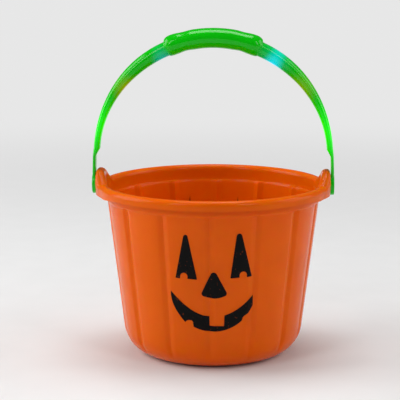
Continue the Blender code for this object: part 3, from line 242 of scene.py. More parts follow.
def joined(objects, name):
    """Make several objects one."""
    bpy.ops.object.select_all(action="DESELECT")
    for obj in objects:
        obj.select_set(True)
    bpy.context.view_layer.objects.active = objects[0]
    if len(objects) > 1:
        bpy.ops.object.join()
    objects[0].name = name
    objects[0].data.name = name
    return objects[0]


def smooth(obj, degrees=35.0):
    """Shade smooth, but keep edges sharp where faces meet at more than the angle."""
    only(obj)
    bpy.ops.object.shade_smooth_by_angle(angle=math.radians(degrees))
    return obj


def tidy(obj):
    """Merge doubles and turn every face outwards."""
    edit(obj)
    bpy.ops.mesh.select_all(action="SELECT")
    bpy.ops.mesh.remove_doubles(threshold=0.000002)
    outwards()
    leave()
    return obj


def count(obj):
    """How many triangles an object has."""
    obj.data.calc_loop_triangles()
    return len(obj.data.loop_triangles)


print("cutting, joining and smoothing are ready")

# %% [markdown]
# ## The pail's profile
# The pail is one moulding about 1.5 mm thick. Its profile is drawn as a ring that is extruded upwards again and
# again: foot, rounded corner, tapered wall, ledge, collar, and the rolled rim with its open skirt. Drawing the
# outer and under side alone and thickening it afterwards keeps the wall even, as a mould does.

# %% Profile of the pail


def wall_radius(height):
    """The tapered wall's outer radius at a height."""
    return BASE_RADIUS + (TOP_RADIUS - BASE_RADIUS) * height / LEDGE_HEIGHT


def pail_profile():
    """Rings as (radius, height), from the middle of the underside to the skirt's lower edge."""
    slope = (TOP_RADIUS - BASE_RADIUS) / LEDGE_HEIGHT
    middle = BASE_RADIUS + slope * CORNER_RADIUS - CORNER_RADIUS * math.hypot(1, slope)
    rings = [(0.0020, 0.0010), (0.0030, 0.0012), (0.0262, 0.0012), (0.0268, 0.0009), (0.0276, 0.0009),
             (0.0282, 0.0012)]
    rings += [(0.0452, 0.0012), (middle - 0.0072, 0.0010), (middle - 0.0068, 0.0004), (middle - 0.0061, 0.0)]
    sweep = math.pi / 2 - math.atan(slope)
    for step in range(13):
        turn = -math.pi / 2 + sweep * step / 12
        rings.append((middle + CORNER_RADIUS * math.cos(turn), CORNER_RADIUS * (1 + math.sin(turn))))
    heights = [0.033, 0.041, 0.050, 0.060, 0.070, 0.080, 0.090, 0.100, 0.110, 0.119, 0.125, 0.129, 0.1315, 0.1335,
               0.135, 0.136, 0.1367]
    rings += [(wall_radius(height), height) for height in heights]
    collar = COLLAR_RADIUS + WALL
    rings += [(wall_radius(0.1373) + 0.0001, 0.1373), (collar - 0.0007, 0.1379), (collar - 0.00045, 0.1384),
              (collar - 0.0003, 0.1392), (collar - 0.00015, 0.1404), (collar - 0.00005, 0.1420)]
    rings += [(collar, height) for height in (0.1436, 0.1460)]
    roll = (RIM_RADIUS - COLLAR_RADIUS) / 2
    for step in range(11):
        turn = math.pi * (1 - step / 10)
        reach = roll - WALL
        rings.append((COLLAR_RADIUS + roll + reach * math.cos(turn), HEIGHT - roll + reach * math.sin(turn)))
    skirt = RIM_RADIUS - WALL
    rings += [(skirt, height) for height in (0.1472, 0.1462, 0.1453, SKIRT_HEIGHT)]
    return rings


rings = pail_profile()
print(len(rings), "rings")

# %% [markdown]
# ## Drawing the pail
# The start is a tiny disc in the middle of the underside. Its edge is extruded to the next ring's height and
# scaled to the next ring's radius, ring after ring, as a potter raises a wall. Spinning a drawn profile would give
# the same round form. Here each ring can be read, moved or added by itself, and the number of columns is a multiple
# of the lobes, so that every groove has a column of points in its middle.

# %% Draw the pail ring by ring
FIRST_RING = (0.0012, 0.0008)


def drawn_out(name, profile, steps, turn=0.0):
    """A disc whose edge is drawn out ring after ring along (radius, height). It stays open, and in edit mode."""
    bpy.ops.object.select_all(action="DESELECT")
    radius, height = profile[0]
    bpy.ops.mesh.primitive_circle_add(vertices=steps, radius=radius, fill_type="NGON", location=(0, 0, height),
                                      rotation=(0, 0, turn))
    obj = named(name)
    edit(obj)
    bpy.ops.mesh.select_all(action="SELECT")
    bpy.ops.mesh.select_mode(type="EDGE")
    bpy.ops.mesh.region_to_loop()
    for next_radius, next_height in profile[1:]:
        bpy.ops.mesh.extrude_edges_move(TRANSFORM_OT_translate={"value": (0, 0, next_height - height)})
        share = next_radius / radius
        bpy.ops.transform.resize(value=(share, share, 1), center_override=(0, 0, next_height))
        radius, height = next_radius, next_height
    return obj


pail = drawn_out("pail", [FIRST_RING] + rings, COLUMNS, math.radians(-90))
leave()
print("pail sheet:", len(pail.data.vertices), "points")

# %% [markdown]
# ## Lobes and grooves
# The fourteen grooves are pressed in with soft moves: only the middle line of each groove is picked, and scaling
# those lines inwards draws their surroundings along smoothly. A wide, shallow pass rounds the lobes and a narrow,
# deeper one makes the grooves. They fade out in the rounded corner in two weaker passes. The collar above stays
# hidden, and so stays round.

# %% Press the grooves


def around(point):
    """Degrees round the pail from the nearest groove."""
    pitch = 360 / LOBES
    angle = math.degrees(math.atan2(point.y, point.x)) + 90
    return (angle + pitch / 2) % pitch - pitch / 2


def press_grooves(low, high, depth, reach, falloff):
    """Scale the grooves' middle lines inwards between two heights."""
    pick(lambda p: abs(around(p)) < 0.2 and low < p.z < high)
    share = 1 - depth / wall_radius((low + high) / 2)
    soft_scale((share, share, 1), (0, 0, 0), reach, falloff)


edit(pail)
hide(lambda p: p.z > 0.1377 or p.z < 0.0011)
press_grooves(0.018, 0.1345, 0.0005, 0.0150, "SMOOTH")
press_grooves(0.0180, 0.1369, 0.0016, 0.0046, "LINEAR")
press_grooves(0.0105, 0.0175, 0.0009, 0.0040, "LINEAR")
press_grooves(0.0045, 0.0100, 0.0004, 0.0036, "LINEAR")
bpy.ops.mesh.reveal(select=False)
leave()
print(LOBES, "grooves pressed")

# %% [markdown]
# ## Raising the ears
# The two ears are part of the rim: its roll climbs over each pivot and comes down again. So they aren't added, but
# pulled out of the rim. The points over each pivot move up with a smooth falloff, and the rim on both sides follows
# in a slope. A second, small step moves the crowns outwards, so that they stand over the pivots.

# %% Raise the ears


def ear_angle(point):
    """Degrees from the middle of the nearest ear."""
    return abs((math.degrees(math.atan2(point.y, point.x)) + 90) % 180 - 90)


EAR_RISE = 0.0117
EAR_SLOPE = 0.0165
EAR_CORE = 4.2
CROWN_STEP = 0.0020
COLLAR_LOW = 0.1400
edit(pail)
hide(lambda p: p.z < COLLAR_LOW or (p.z < SKIRT_HEIGHT + 0.0001 and math.hypot(p.x, p.y) > 0.098))
pick(lambda p: ear_angle(p) < EAR_CORE and p.z > 0.1475)
soft_move((0, 0, EAR_RISE), EAR_SLOPE)
for side in (-1, 1):
    pick(lambda p: ear_angle(p) < EAR_CORE and p.z > 0.1560 and p.x * side > 0)
    soft_move((side * CROWN_STEP, 0, 0), EAR_SLOPE)
bpy.ops.mesh.reveal(select=False)
print(f"ears raised by {EAR_RISE * 1000:.1f} mm")

# %% [markdown]
# ## The ears' outer faces
# The handle's round ends lie flat against the ears, so each ear has a flat outer face. Flattening alone would cut
# into the roll of the rim, so the rim first swells a little there. Scaling the picked faces to nothing along X, about
# a plane, puts them all into that plane, and the falloff blends the flat into the round.

# %% Swell the rim at the ears and flatten their outer faces
SWELL = 0.0016
SWELL_REACH = 0.0150
EAR_HALF_FACE = 0.0075
FLAT_REACH = 0.0090
hide(lambda p: p.z < COLLAR_LOW or math.hypot(p.x, p.y) < 0.0988)
pick(lambda p: ear_angle(p) < 10)
soft_scale((1 + SWELL / 0.1, 1 + SWELL / 0.1, 1), (0, 0, 0), SWELL_REACH)
for side in (-1, 1):
    pick_faces(lambda m, n: abs(n.z) < 0.3 and m.x * side > 0.094 and abs(m.y) < EAR_HALF_FACE)
    soft_scale((0, 1, 1), (side * (EAR_FACE - WALL), 0, 0), FLAT_REACH)
bpy.ops.mesh.reveal(select=False)
print("outer faces of the ears flattened")

# %% [markdown]
# ## Crowns and skirt
# Moving points in steps leaves small kinks, which the smoothing operator takes out of the crowns. The skirt under
# the rim hangs a little lower beside the ears than in front. One wide, soft move brings it down.

# %% Round the ears' crowns and hang the skirt lower beside them
SKIRT_DROP = 0.0019
SKIRT_REACH = 0.0300
pick(lambda p: ear_angle(p) < 16 and p.z > 0.1535)
bpy.ops.mesh.vertices_smooth(factor=0.5, repeat=14)
hide(lambda p: p.z > 0.1465 or math.hypot(p.x, p.y) < 0.0975)
pick(lambda p: ear_angle(p) < 22 and p.z < 0.1450)
soft_move((0, 0, -SKIRT_DROP), SKIRT_REACH)
bpy.ops.mesh.reveal(select=False)
outwards()
leave()
top = max(vertex.co.z for vertex in pail.data.vertices)
wide = max(vertex.co.x for vertex in pail.data.vertices)
print(f"ears' under side: top {top:.4f}, widest {wide:.4f}")

# %% [markdown]
# ## The skin for the printing
# The ink follows the wall, lobes and grooves included, so a copy of the bare wall is kept before the pail is
# thickened. The print is cut from it later. Only the front of the wall is needed, and the rest is deleted.

# %% Keep a copy of the wall
if pail.data.polygons[0].normal.z > 0:
    edit(pail)
    bpy.ops.mesh.select_all(action="SELECT")
    bpy.ops.mesh.flip_normals()
    leave()
wall_copy = copied(pail, "wall copy")
edit(wall_copy)
pick(lambda p: p.y > -0.020 or p.z < 0.030 or p.z > 0.1365)
bpy.ops.mesh.delete(type="VERT")
leave()
print("wall copy:", len(wall_copy.data.polygons), "faces")

# %% [markdown]
# ## Thickness and pivot holes
# The sheet is the outer side of the wall and the under side of the rim. A Solidify modifier gives it its 1.5 mm
# towards the inside of the pail and the top of the rim, so that the skirt stays open underneath, as it has to be to
# leave the mould. Two holes through the ears take the handle's pegs, with a little play.

# %% Thicken the pail and drill the ears
PIVOT_HOLE_RADIUS = 0.0031
apply(pail, "SOLIDIFY", thickness=WALL, offset=-1, use_even_offset=True)
for side in (-1, 1):
    bpy.ops.object.select_all(action="DESELECT")
    bpy.ops.mesh.primitive_cylinder_add(vertices=40, radius=PIVOT_HOLE_RADIUS, depth=0.012,
                                        location=(side * EAR_FACE, 0, PIVOT_HEIGHT), rotation=(0, math.pi / 2, 0))
    carve(pail, named("pivot hole"))
smooth(pail, 40)
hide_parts("bucket_shell")
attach(pail, "pail")
print("pail:", count(pail), "triangles")

# %% [markdown]
# ## Arcs and rounded corners
# The face is pad-printed: eyes, nose and mouth of a cut pumpkin in black. Its outlines are flat curves, made of
# straight lines, arcs and rounded corners, as a draughtsman would draw them with a ruler and compasses.

# %% Helpers for drawing


def arc(x, z, radius, start, end, steps):
    """Points on an arc round (x, z), from one angle to another in degrees."""
    turns = [math.radians(start + (end - start) * i / steps) for i in range(steps + 1)]
    return [(x + radius * math.cos(t), z + radius * math.sin(t)) for t in turns]


def rounded(before, corner, after, radius, steps):
    """A rounded corner between two straight edges."""
    first_way = (Vector(before) - Vector(corner)).normalized()
    last_way = (Vector(after) - Vector(corner)).normalized()
    half = first_way.angle(last_way) / 2
    centre = Vector(corner) + (first_way + last_way).normalized() * radius / math.sin(half)
    first = Vector(corner) + first_way * radius / math.tan(half) - centre
    last = Vector(corner) + last_way * radius / math.tan(half) - centre
    sweep = first.angle_signed(last)
    points = []
    for i in range(steps + 1):
        arm = first.copy()
        arm.rotate(Matrix.Rotation(-sweep * i / steps, 2))
        points.append(tuple(centre + arm))
    return points


print("a rounded square corner:", len(rounded((0, 1), (0, 0), (1, 0), 0.2, 4)), "points")

# %% [markdown]
# ## The eyes
# Each eye is a tall, slim triangle with a round tip and a half round bite out of its foot. Both are given by their
# corners, as measured in the fitted photograph, because the two aren't quite alike: the right one stands a
# millimetre higher, leans the other way and has a rounder tip.

# %% Draw the eyes
BITE_RADIUS = 0.0031
BITE_RISE = 0.0021


def eye(outer, inner, top, radius, bite):
    """A tall rounded triangle with a half round bite out of its foot."""
    left, right = sorted((outer, inner))
    tip = (top[0], top[1] + 3 * radius)
    for _ in range(6):
        half = math.atan((right[0] - left[0]) / 2 / (tip[1] - (left[1] + right[1]) / 2))
        tip = (top[0], top[1] + radius * (1 / math.sin(half) - 1))
    foot = left[1] + (right[1] - left[1]) * (bite - left[0]) / (right[0] - left[0])
    outline = rounded((bite, foot), left, tip, 0.0005, 4) + rounded(left, tip, right, radius, 12)
    outline += rounded(tip, right, (bite, foot), 0.0005, 4) + [(bite + BITE_RADIUS, foot)]
    return outline + arc(bite, foot + BITE_RISE, BITE_RADIUS, 0, 180, 20) + [(bite - BITE_RADIUS, foot)]


EYES = {
    "left": ((-0.0325, 0.0840), (-0.0143, 0.0834), (-0.0243, 0.1225), 0.0018, -0.0255),
    "right": ((0.0319, 0.0851), (0.0136, 0.0845), (0.0206, 0.1236), 0.0023, 0.0245),
}
outlines = {"left_eye_print": eye(*EYES["left"]), "right_eye_print": eye(*EYES["right"])}
print({name: len(outline) for name, outline in outlines.items()}, "points")

# %% [markdown]
# ## Nose and mouth
# The nose is a triangle with three rounded corners whose foot bows down. The mouth is a crescent: its lower edge is
# an arc and its upper edge a shallow parabola. One square tooth hangs from the upper edge, and two uneven teeth
# stand on the lower one, drawn point by point.

# %% Draw the nose and the mouth


def nose():
    """A rounded triangle on a bowed foot."""
    foot = 0.0694
    left, right, tip, low = (-0.0117, foot), (0.0120, foot), (-0.0004, 0.0931), (-0.0004, foot - 0.0026)
    outline = rounded(low, left, tip, 0.0026, 8) + rounded(left, tip, right, 0.0027, 10)
    outline += rounded(tip, right, low, 0.0026, 8)
    first, last = outline[-1], outline[0]
    bow = []
    for i in range(1, 8):
        share = i / 8
        x = first[0] + (last[0] - first[0]) * share
        bow.append((x, low[1] + (first[1] - low[1]) * (2 * share - 1) ** 2))
    return outline + bow


def mouth():
    """A crescent under a bowed edge, with one tooth hanging from the bow and two on the lower arc."""
    radius, middle, centre = 0.03635, -0.0005, 0.0371 + 0.03635

    def upper(start, end, steps):
        """Points along the upper edge."""
        places = [start + (end - start) * i / steps for i in range(steps + 1)]
        return [(x, 0.0503 + x * x / 0.0610) for x in places]

    def lower(start, end, steps):
        """Points along the lower edge."""
        turns = [math.degrees(math.asin((x - middle) / radius)) - 90 for x in (start, end)]
        return arc(middle, centre, radius, turns[0], turns[1], steps)

    outline = upper(-0.0365, -0.0039, 20)
    outline += rounded((-0.0037, 0.05), (-0.0037, 0.0420), (0.0086, 0.0420), 0.0004, 3)
    outline += rounded((-0.0037, 0.0420), (0.0086, 0.0420), (0.0086, 0.05), 0.0004, 3)
    outline += upper(0.0088, 0.0329, 16) + lower(0.0329, 0.0308, 3)
    outline += [(0.0290, 0.0524), (0.0271, 0.0512), (0.0256, 0.0504), (0.0246, 0.0493), (0.0240, 0.0478),
                (0.0239, 0.0469)]
    outline += lower(0.0237, -0.0172, 24)
    outline += [(-0.0174, 0.0426), (-0.0177, 0.0447), (-0.0180, 0.0458), (-0.0186, 0.0466), (-0.0195, 0.0470),
                (-0.0212, 0.0470), (-0.0226, 0.0466), (-0.0236, 0.0458), (-0.0243, 0.0449), (-0.0268, 0.0478)]
    return outline + lower(-0.0295, -0.0365, 10)


outlines["nose_print"] = nose()
outlines["mouth_print"] = mouth()
print({name: len(outline) for name, outline in outlines.items()}, "points")

# %% [markdown]
# ## Blocks and films
# An outline becomes a block that reaches through the front wall, turned by the small angle at which the print sits on
# the pail. The film is a patch of the kept wall round that outline. It is lifted a twentieth of a millimetre off the
# wall and thickened to the ink's two tenths, which real ink doesn't have, but a sheet without thickness would
# flicker in the wall.

# %% Helpers for the print
PRINT_TURN = math.radians(2.75)
PRINT_LIFT = 0.00005
INK = 0.0002
PATCH_MARGIN = 0.010


def print_block(name, outline):
    """The outline as a block that reaches through the front wall."""
    block = bpy.data.objects.new(name + " block", bpy.data.meshes.new(name))
    block.data.from_pydata([(x, -0.030, z) for x, z in outline], [], [list(range(len(outline)))])
    bpy.context.scene.collection.objects.link(block)
    edit(block)
    bpy.ops.mesh.select_all(action="SELECT")
    bpy.ops.mesh.extrude_region_move(TRANSFORM_OT_translate={"value": (0, -0.100, 0)})
    outwards()
    leave()
    block.rotation_euler = (0, 0, PRINT_TURN)
    return block


def print_film(name, outline):
    """A thin film on the patch of wall round the outline."""
    film = copied(wall_copy, name + " film")
    left, right = min(x for x, z in outline) - PATCH_MARGIN, max(x for x, z in outline) + PATCH_MARGIN
    low, high = min(z for x, z in outline) - PATCH_MARGIN, max(z for x, z in outline) + PATCH_MARGIN
    edit(film)
    pick(lambda p: not (left < p.x < right and low < p.z < high))
    bpy.ops.mesh.delete(type="VERT")
    bpy.ops.mesh.select_all(action="SELECT")
    bpy.ops.transform.shrink_fatten(value=PRINT_LIFT)
    leave()
    return apply(film, "SOLIDIFY", thickness=INK, offset=1, use_even_offset=True)


print(f"ink {INK * 1000:.1f} mm thick, turned by {math.degrees(PRINT_TURN):.2f} degrees")

# %% [markdown]
# ## Cutting the ink
# Where block and film meet is the ink. The same face is printed on the back of the pail, because two small dark tips
# show through the far wall in the photograph. So each area is copied, and the copy is turned half round.

# %% Cut the ink and print both sides
prints = []
for name, outline in outlines.items():
    block = print_block(name, outline)
    film = carve(print_film(name, outline), block, "INTERSECT")
    smooth(film, 30)
    for prefix, turn in (("front_", 0.0), ("back_", math.pi)):
        ink = copied(film, prefix + name + "_ink")
        ink.rotation_euler = (0, 0, turn)
        bpy.ops.object.transform_apply(location=False, rotation=True, scale=False)
        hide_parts(prefix + name)
        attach(ink, "pail")
        prints.append(ink)
    bpy.data.objects.remove(film)
bpy.data.objects.remove(wall_copy)
print(len(prints), "prints,", sum(count(ink) for ink in prints), "triangles")

# %% [markdown]
# ## The handle's line
# The handle is an arch: half a circle of about 103 mm radius whose ends run straight down to the pivots. Places on
# it are given by s, the distance along the arch from the middle of the grip, and rho, the distance out of it. A
# small frame of axes at any s lets each piece of the handle be made flat and then put in its place.

# %% The arch
ARCH_RADIUS = 0.1028
ARCH_HEIGHT = 0.1751
QUARTER = ARCH_RADIUS * math.pi / 2


def arch_frame(s, rho=0.0, y=0.0):
    """X along the arch, Y the world's, Z out of the arch."""
    turn = max(-math.pi / 2, min(math.pi / 2, s / ARCH_RADIUS))
    along = Vector((math.cos(turn), 0, -math.sin(turn)))
    out = Vector((math.sin(turn), 0, math.cos(turn)))
    place = Vector((0, y, ARCH_HEIGHT - max(0.0, abs(s) - QUARTER))) + out * (ARCH_RADIUS + rho)
    matrix = Matrix((along, Vector((0, 1, 0)), out)).transposed().to_4x4()
    matrix.translation = place
    return matrix


print(f"quarter arch {QUARTER * 1000:.1f} mm")

# %% [markdown]
# ## The handle's section
# The section is a rounded box whose corners get squarer towards the strap: a superellipse, where a power of 2 is an
# ellipse and 4 almost a box. From the middle outwards it is the grip with two shallow waists, a rounded shoulder that
# drops to the arm, the arm that tapers in a soft curve, and the thin strap that leans out to the ear.

# %% The section along the arch
GRIP_HALF = 0.0418
GRIP_SHOULDER = 0.0068
GRIP_FOOT = 0.0016
GRIP_THICKNESS, GRIP_DEPTH, GRIP_POWER = 0.0178, 0.0208, 2.1
GRIP_SHIFT = 0.0012
GRIP_FLARE = 0.0008
WAIST_DEPTH, WAIST_PLACE, WAIST_REACH = 0.0010, 0.0250, 0.0080
ARM_END = QUARTER - 0.0068
ARM_ROOT_THICKNESS, ARM_ROOT_DEPTH = 0.0133, 0.0152
ARM_END_THICKNESS, ARM_END_DEPTH = 0.0062, 0.0140
ARM_POWER = 2.3
STRAP_THICKNESS, STRAP_POWER = 0.0033, 4.0
STRAP_TAPER = 0.0065
STRAP_LEAN = 0.0135
STRAP_TOP_SHIFT, STRAP_SHIFT = 0.0018, 0.00225


def mix(first, second, share):
    """A value between two others."""
    return first + (second - first) * share


def section(s):
    """Outward shift, half thickness, half depth and power at s."""
    far = abs(s)
    run = min(1.0, max(0.0, (far - GRIP_HALF) / (ARM_END - GRIP_HALF)))
    taper = (1 + math.cos(math.pi * run)) / 2
    thick = mix(ARM_END_THICKNESS, ARM_ROOT_THICKNESS, taper)
    deep = mix(ARM_END_DEPTH, ARM_ROOT_DEPTH, taper)
    shift, power = 0.0, ARM_POWER
    if far < GRIP_HALF + GRIP_FOOT:
        over = min(1.0, max(0.0, (far - GRIP_HALF + GRIP_SHOULDER) / GRIP_SHOULDER))
        foot = min(1.0, (GRIP_HALF + GRIP_FOOT - far) / (2 * GRIP_FOOT))
        swell = max(math.sqrt(1 - over ** 2), 0.36 * foot ** 2)
        waist = WAIST_DEPTH * math.cos(min(1.0, abs(far - WAIST_PLACE) / WAIST_REACH) * math.pi / 2) ** 2
        flare = GRIP_FLARE * (far / GRIP_HALF) ** 2
        thick, deep = mix(thick, GRIP_THICKNESS + flare - waist, swell), mix(deep, GRIP_DEPTH, swell)
        shift, power = GRIP_SHIFT * swell, mix(ARM_POWER, GRIP_POWER, swell)
    if far > ARM_END:
        thin = min(1.0, (far - ARM_END) / STRAP_TAPER)
        lean = min(1.0, max(0.0, (far - ARM_END - STRAP_TAPER) / STRAP_LEAN))
        thick, power = mix(thick, STRAP_THICKNESS, thin), mix(ARM_POWER, STRAP_POWER, thin)
        shift = mix(thin * STRAP_TOP_SHIFT, STRAP_SHIFT, lean)
    return shift, thick / 2, deep / 2, power


for place in (0.0, GRIP_HALF + GRIP_FOOT, ARM_END, QUARTER):
    print(f"s {place * 1000:5.1f} mm: {section(place)[1] * 2000:.1f} mm thick, {section(place)[2] * 2000:.1f} mm deep")

# %% [markdown]
# ## Lofting
# A loft joins a row of such sections into one closed bar. Extruding and scaling a ring by hand could follow the arch
# and the taper, but not a section whose corners change from round to square, so the points are placed by the
# section's own formula here. The stations stand close together over the shoulders, where the form turns quickly.
# SKIN draws the whole handle in by two tenths of a millimetre, which keeps it inside the CAD handle.

# %% Loft a bar through stations
SIDES = 80
SKIN = 0.0002
HANDLE_END = QUARTER + 0.0215


def ring(s, inset, sides):
    """The section's points at s, drawn in by the inset."""
    shift, half, deep, power = section(s)
    frame_here = arch_frame(s)
    points = []
    for i in range(sides):
        turn = 2 * math.pi * (i + 0.5) / sides
        rho = math.copysign(abs(math.cos(turn)) ** (2 / power), math.cos(turn)) * (half - inset)
        y = math.copysign(abs(math.sin(turn)) ** (2 / power), math.sin(turn)) * (deep - inset)
        points.append(frame_here @ Vector((0, y, shift + rho)))
    return points


def solid(name, points, faces):
    """A closed body from its points and faces."""
    mesh = bpy.data.meshes.new(name)
    mesh.from_pydata(points, [], faces)
    obj = bpy.data.objects.new(name, mesh)
    bpy.context.scene.collection.objects.link(obj)
    edit(obj)
    outwards()
    leave()
    return obj


def loft(name, stations, inset, sides):
    """A closed bar through the sections at the stations."""
    points = [point for s in stations for point in ring(s, inset, sides)]
    faces = []
    for row in range(len(stations) - 1):
        for i in range(sides):
            j = (i + 1) % sides
            faces.append((row * sides + i, row * sides + j, (row + 1) * sides + j, (row + 1) * sides + i))
    faces += [tuple(range(sides)), tuple(range((len(stations) - 1) * sides, len(stations) * sides))]
    return solid(name, points, faces)


def stations(start, end):
    """Places from start to end: dense over the grip's shoulders, wider apart elsewhere."""
    places = [i * 0.00205 for i in range(17)]
    places += [GRIP_HALF - GRIP_SHOULDER * (1 - math.sin(math.pi / 2 * i / 14)) for i in range(14)]
    places += [GRIP_HALF + 0.0004 * i for i in range(-1, 5)]
    places += [mix(GRIP_HALF, ARM_END, i / 66) for i in range(2, 67)]
    places += [ARM_END + STRAP_TAPER * i / 5 for i in range(1, 6)]
    places += [ARM_END + STRAP_TAPER + STRAP_LEAN * i / 4 for i in range(1, 5)]
    places += [HANDLE_END]
    both = sorted({round(s, 6) for s in places} | {-round(s, 6) for s in places})
    return [start] + [s for s in both if start + 0.0004 < s < end - 0.0004] + [end]


print(len(stations(-HANDLE_END, HANDLE_END)), "stations from strap to strap")

# %% [markdown]
# ## Tool bodies
# The openings, posts and shelves of the handle are made with a few simple bodies: a straight box, a cylinder that
# stands across the handle, and a box that bends with the arch, because the long openings of the grip follow its
# curve.

# %% Boxes and cylinders


def box(name, low, high, matrix=None):
    """A box between two corners, in a frame of its own."""
    bpy.ops.object.select_all(action="DESELECT")
    middle = [(a + b) / 2 for a, b in zip(low, high)]
    bpy.ops.mesh.primitive_cube_add(size=1, location=middle)
    obj = bpy.context.active_object
    obj.scale = [b - a for a, b in zip(low, high)]
    obj = named(name)
    return obj if matrix is None else placed(obj, matrix)


def across(name, s, radius, y_from, y_to, along=0.0, sides=24):
    """A cylinder that stands across the handle, parallel to Y."""
    bpy.ops.object.select_all(action="DESELECT")
    place = arch_frame(s, section(s)[0]) @ Vector((along, (y_from + y_to) / 2, 0))
    bpy.ops.mesh.primitive_cylinder_add(vertices=sides, radius=radius, depth=abs(y_to - y_from), location=place,
                                        rotation=(math.pi / 2, 0, 0))
    return named(name)


def curved_box(name, start, end, y_from, y_to, half):
    """A box that bends with the arch."""
    corners = ((y_from, -half), (y_to, -half), (y_to, half), (y_from, half))
    points, faces, rows = [], [], 13
    for i in range(rows):
        here = arch_frame(mix(start, end, i / (rows - 1)), GRIP_SHIFT)
        points += [here @ Vector((0, y, rho)) for y, rho in corners]
    for row in range(rows - 1):
        faces += [(row * 4 + i, row * 4 + (i + 1) % 4, row * 4 + 4 + (i + 1) % 4, row * 4 + 4 + i) for i in range(4)]
    return solid(name, points, faces + [(0, 1, 2, 3), tuple(range(rows * 4 - 4, rows * 4))])


print("three kinds of tool bodies are ready")

# %% [markdown]
# ## Hollows and walls of the handle
# The handle is two halves that meet in one plane. Inside they are hollow, with a cross wall at each lamp and at
# both ends of the battery bay. The hollow rooms are lofted from the same sections, drawn in by the wall's 1.3 mm.

# %% The hollow rooms
HANDLE_WALL = 0.0013
CROSS_WALL = 0.0012
ARM_TIP = 0.0047
LAMPS = {"blue": 0.0530, "red": 0.0920, "green": 0.1280}
LAMP_HOLE_RADIUS = 0.00168
BAY_MIDDLE, BAY_HALF = -0.0190, 0.0112
BAY_START, BAY_END = BAY_MIDDLE - BAY_HALF, BAY_MIDDLE + BAY_HALF
lamp_walls = [side * place for place in LAMPS.values() for side in (-1, 1)]
cross_walls = sorted(lamp_walls + [BAY_START - CROSS_WALL / 2, BAY_END + CROSS_WALL / 2])


def rooms():
    """The hollows between the cross walls, as one tool."""
    cavity_end = ARM_END - ARM_TIP
    edges = [-cavity_end] + cross_walls + [cavity_end]
    made = []
    for start, end in zip(edges, edges[1:]):
        left = start + CROSS_WALL / 2 if start in cross_walls else start
        right = end - CROSS_WALL / 2 if end in cross_walls else end
        made.append(loft("room", stations(left, right), HANDLE_WALL + SKIN, 28))
    return joined(made, "rooms")


def lamp_holes():
    """The holes for the lamps in their cross walls, as one tool."""
    made = []
    for place in lamp_walls:
        bpy.ops.object.select_all(action="DESELECT")
        bpy.ops.mesh.primitive_cylinder_add(vertices=20, radius=LAMP_HOLE_RADIUS, depth=2 * CROSS_WALL)
        hole = bpy.context.active_object
        hole.matrix_world = arch_frame(place) @ Matrix.Rotation(math.pi / 2, 4, "Y")
        made.append(named("lamp hole"))
    return joined(made, "lamp holes")


print(len(cross_walls), "cross walls")

# %% [markdown]
# ## Turned solids
# The pegs, the button, the screws and the cells are round. On a lathe they would be turned from a bar. Here they are
# drawn out ring by ring as the pail was, and the last ring is closed with a face, so that they are solid.

# %% Helper for turning


def turned(name, profile, steps=48, matrix=None):
    """A closed turned solid along (radius, height)."""
    obj = drawn_out(name, profile, steps)
    bpy.ops.mesh.edge_face_add()
    outwards()
    leave()
    return obj if matrix is None else placed(obj, matrix)


print("turning is ready")

# %% [markdown]
# ## Strap ends with snap pegs
# Each strap ends in a round pad. A split peg with a barbed head stands on its inner side: it closes up while it
# is pushed through the ear, and springs open behind it. It is turned as a stack of rings and then slotted.

# %% The strap ends


def strap_end(side):
    """The round end of one strap with its slotted peg."""
    inner, outer = EAR_FACE + GAP, EAR_FACE + GAP + STRAP_THICKNESS
    head = EAR_FACE - WALL - GAP
    profile = [(0.0060, outer), (0.0084, outer), (0.00875, outer - 0.00008), (0.0090, outer - 0.00025),
               (0.00912, outer - 0.0006), (0.00915, inner + 0.0002), (0.0090, inner), (0.0030, inner),
               (0.0028, inner - 0.0002), (0.0028, head), (0.0038, head), (0.0039, head - 0.0002),
               (0.0025, head - 0.0018), (0.0022, head - 0.0020)]
    matrix = Matrix.Translation((0, 0, PIVOT_HEIGHT)) @ Matrix.Rotation(side * math.pi / 2, 4, "Y")
    end = turned("strap end", profile, 64, matrix)
    slit = box("slit", (-0.005, -0.00055, head - 0.0023), (0.005, 0.00055, inner - GAP), matrix)
    return carve(end, slit)


print("peg stands through", round(WALL * 1000, 1), "mm of ear")

# %% [markdown]
# ## The two halves
# Both halves start as the same lofted bar. The rooms and the lamps' holes are cut out of it, and then it is copied,
# so that both halves have the same hollows on both sides of the seam. The thin straps belong to the back half only,
# and the front half ends above them at SPLIT, so nothing can pull a strap apart at a seam.

# %% Loft the bar and hollow it
SEAM = 0.0003
SPLIT = PIVOT_HEIGHT + 0.0305
bar = loft("handle bar", stations(-HANDLE_END, HANDLE_END), SKIN, SIDES)
carve(bar, rooms())
carve(bar, lamp_holes())
front_half = copied(bar, "front half")
back_half = bar
print("hollow bar:", count(bar), "triangles")

# %% [markdown]
# ## The back half
# It keeps what lies behind the seam, and gets its strap ends, four posts for the screws and two shelves for the
# battery door. It is opened for the screws and their sunk heads, the door, the cells and the button. The posts come
# before their holes and the shelves before the openings over them, so that nothing closes a hole again.

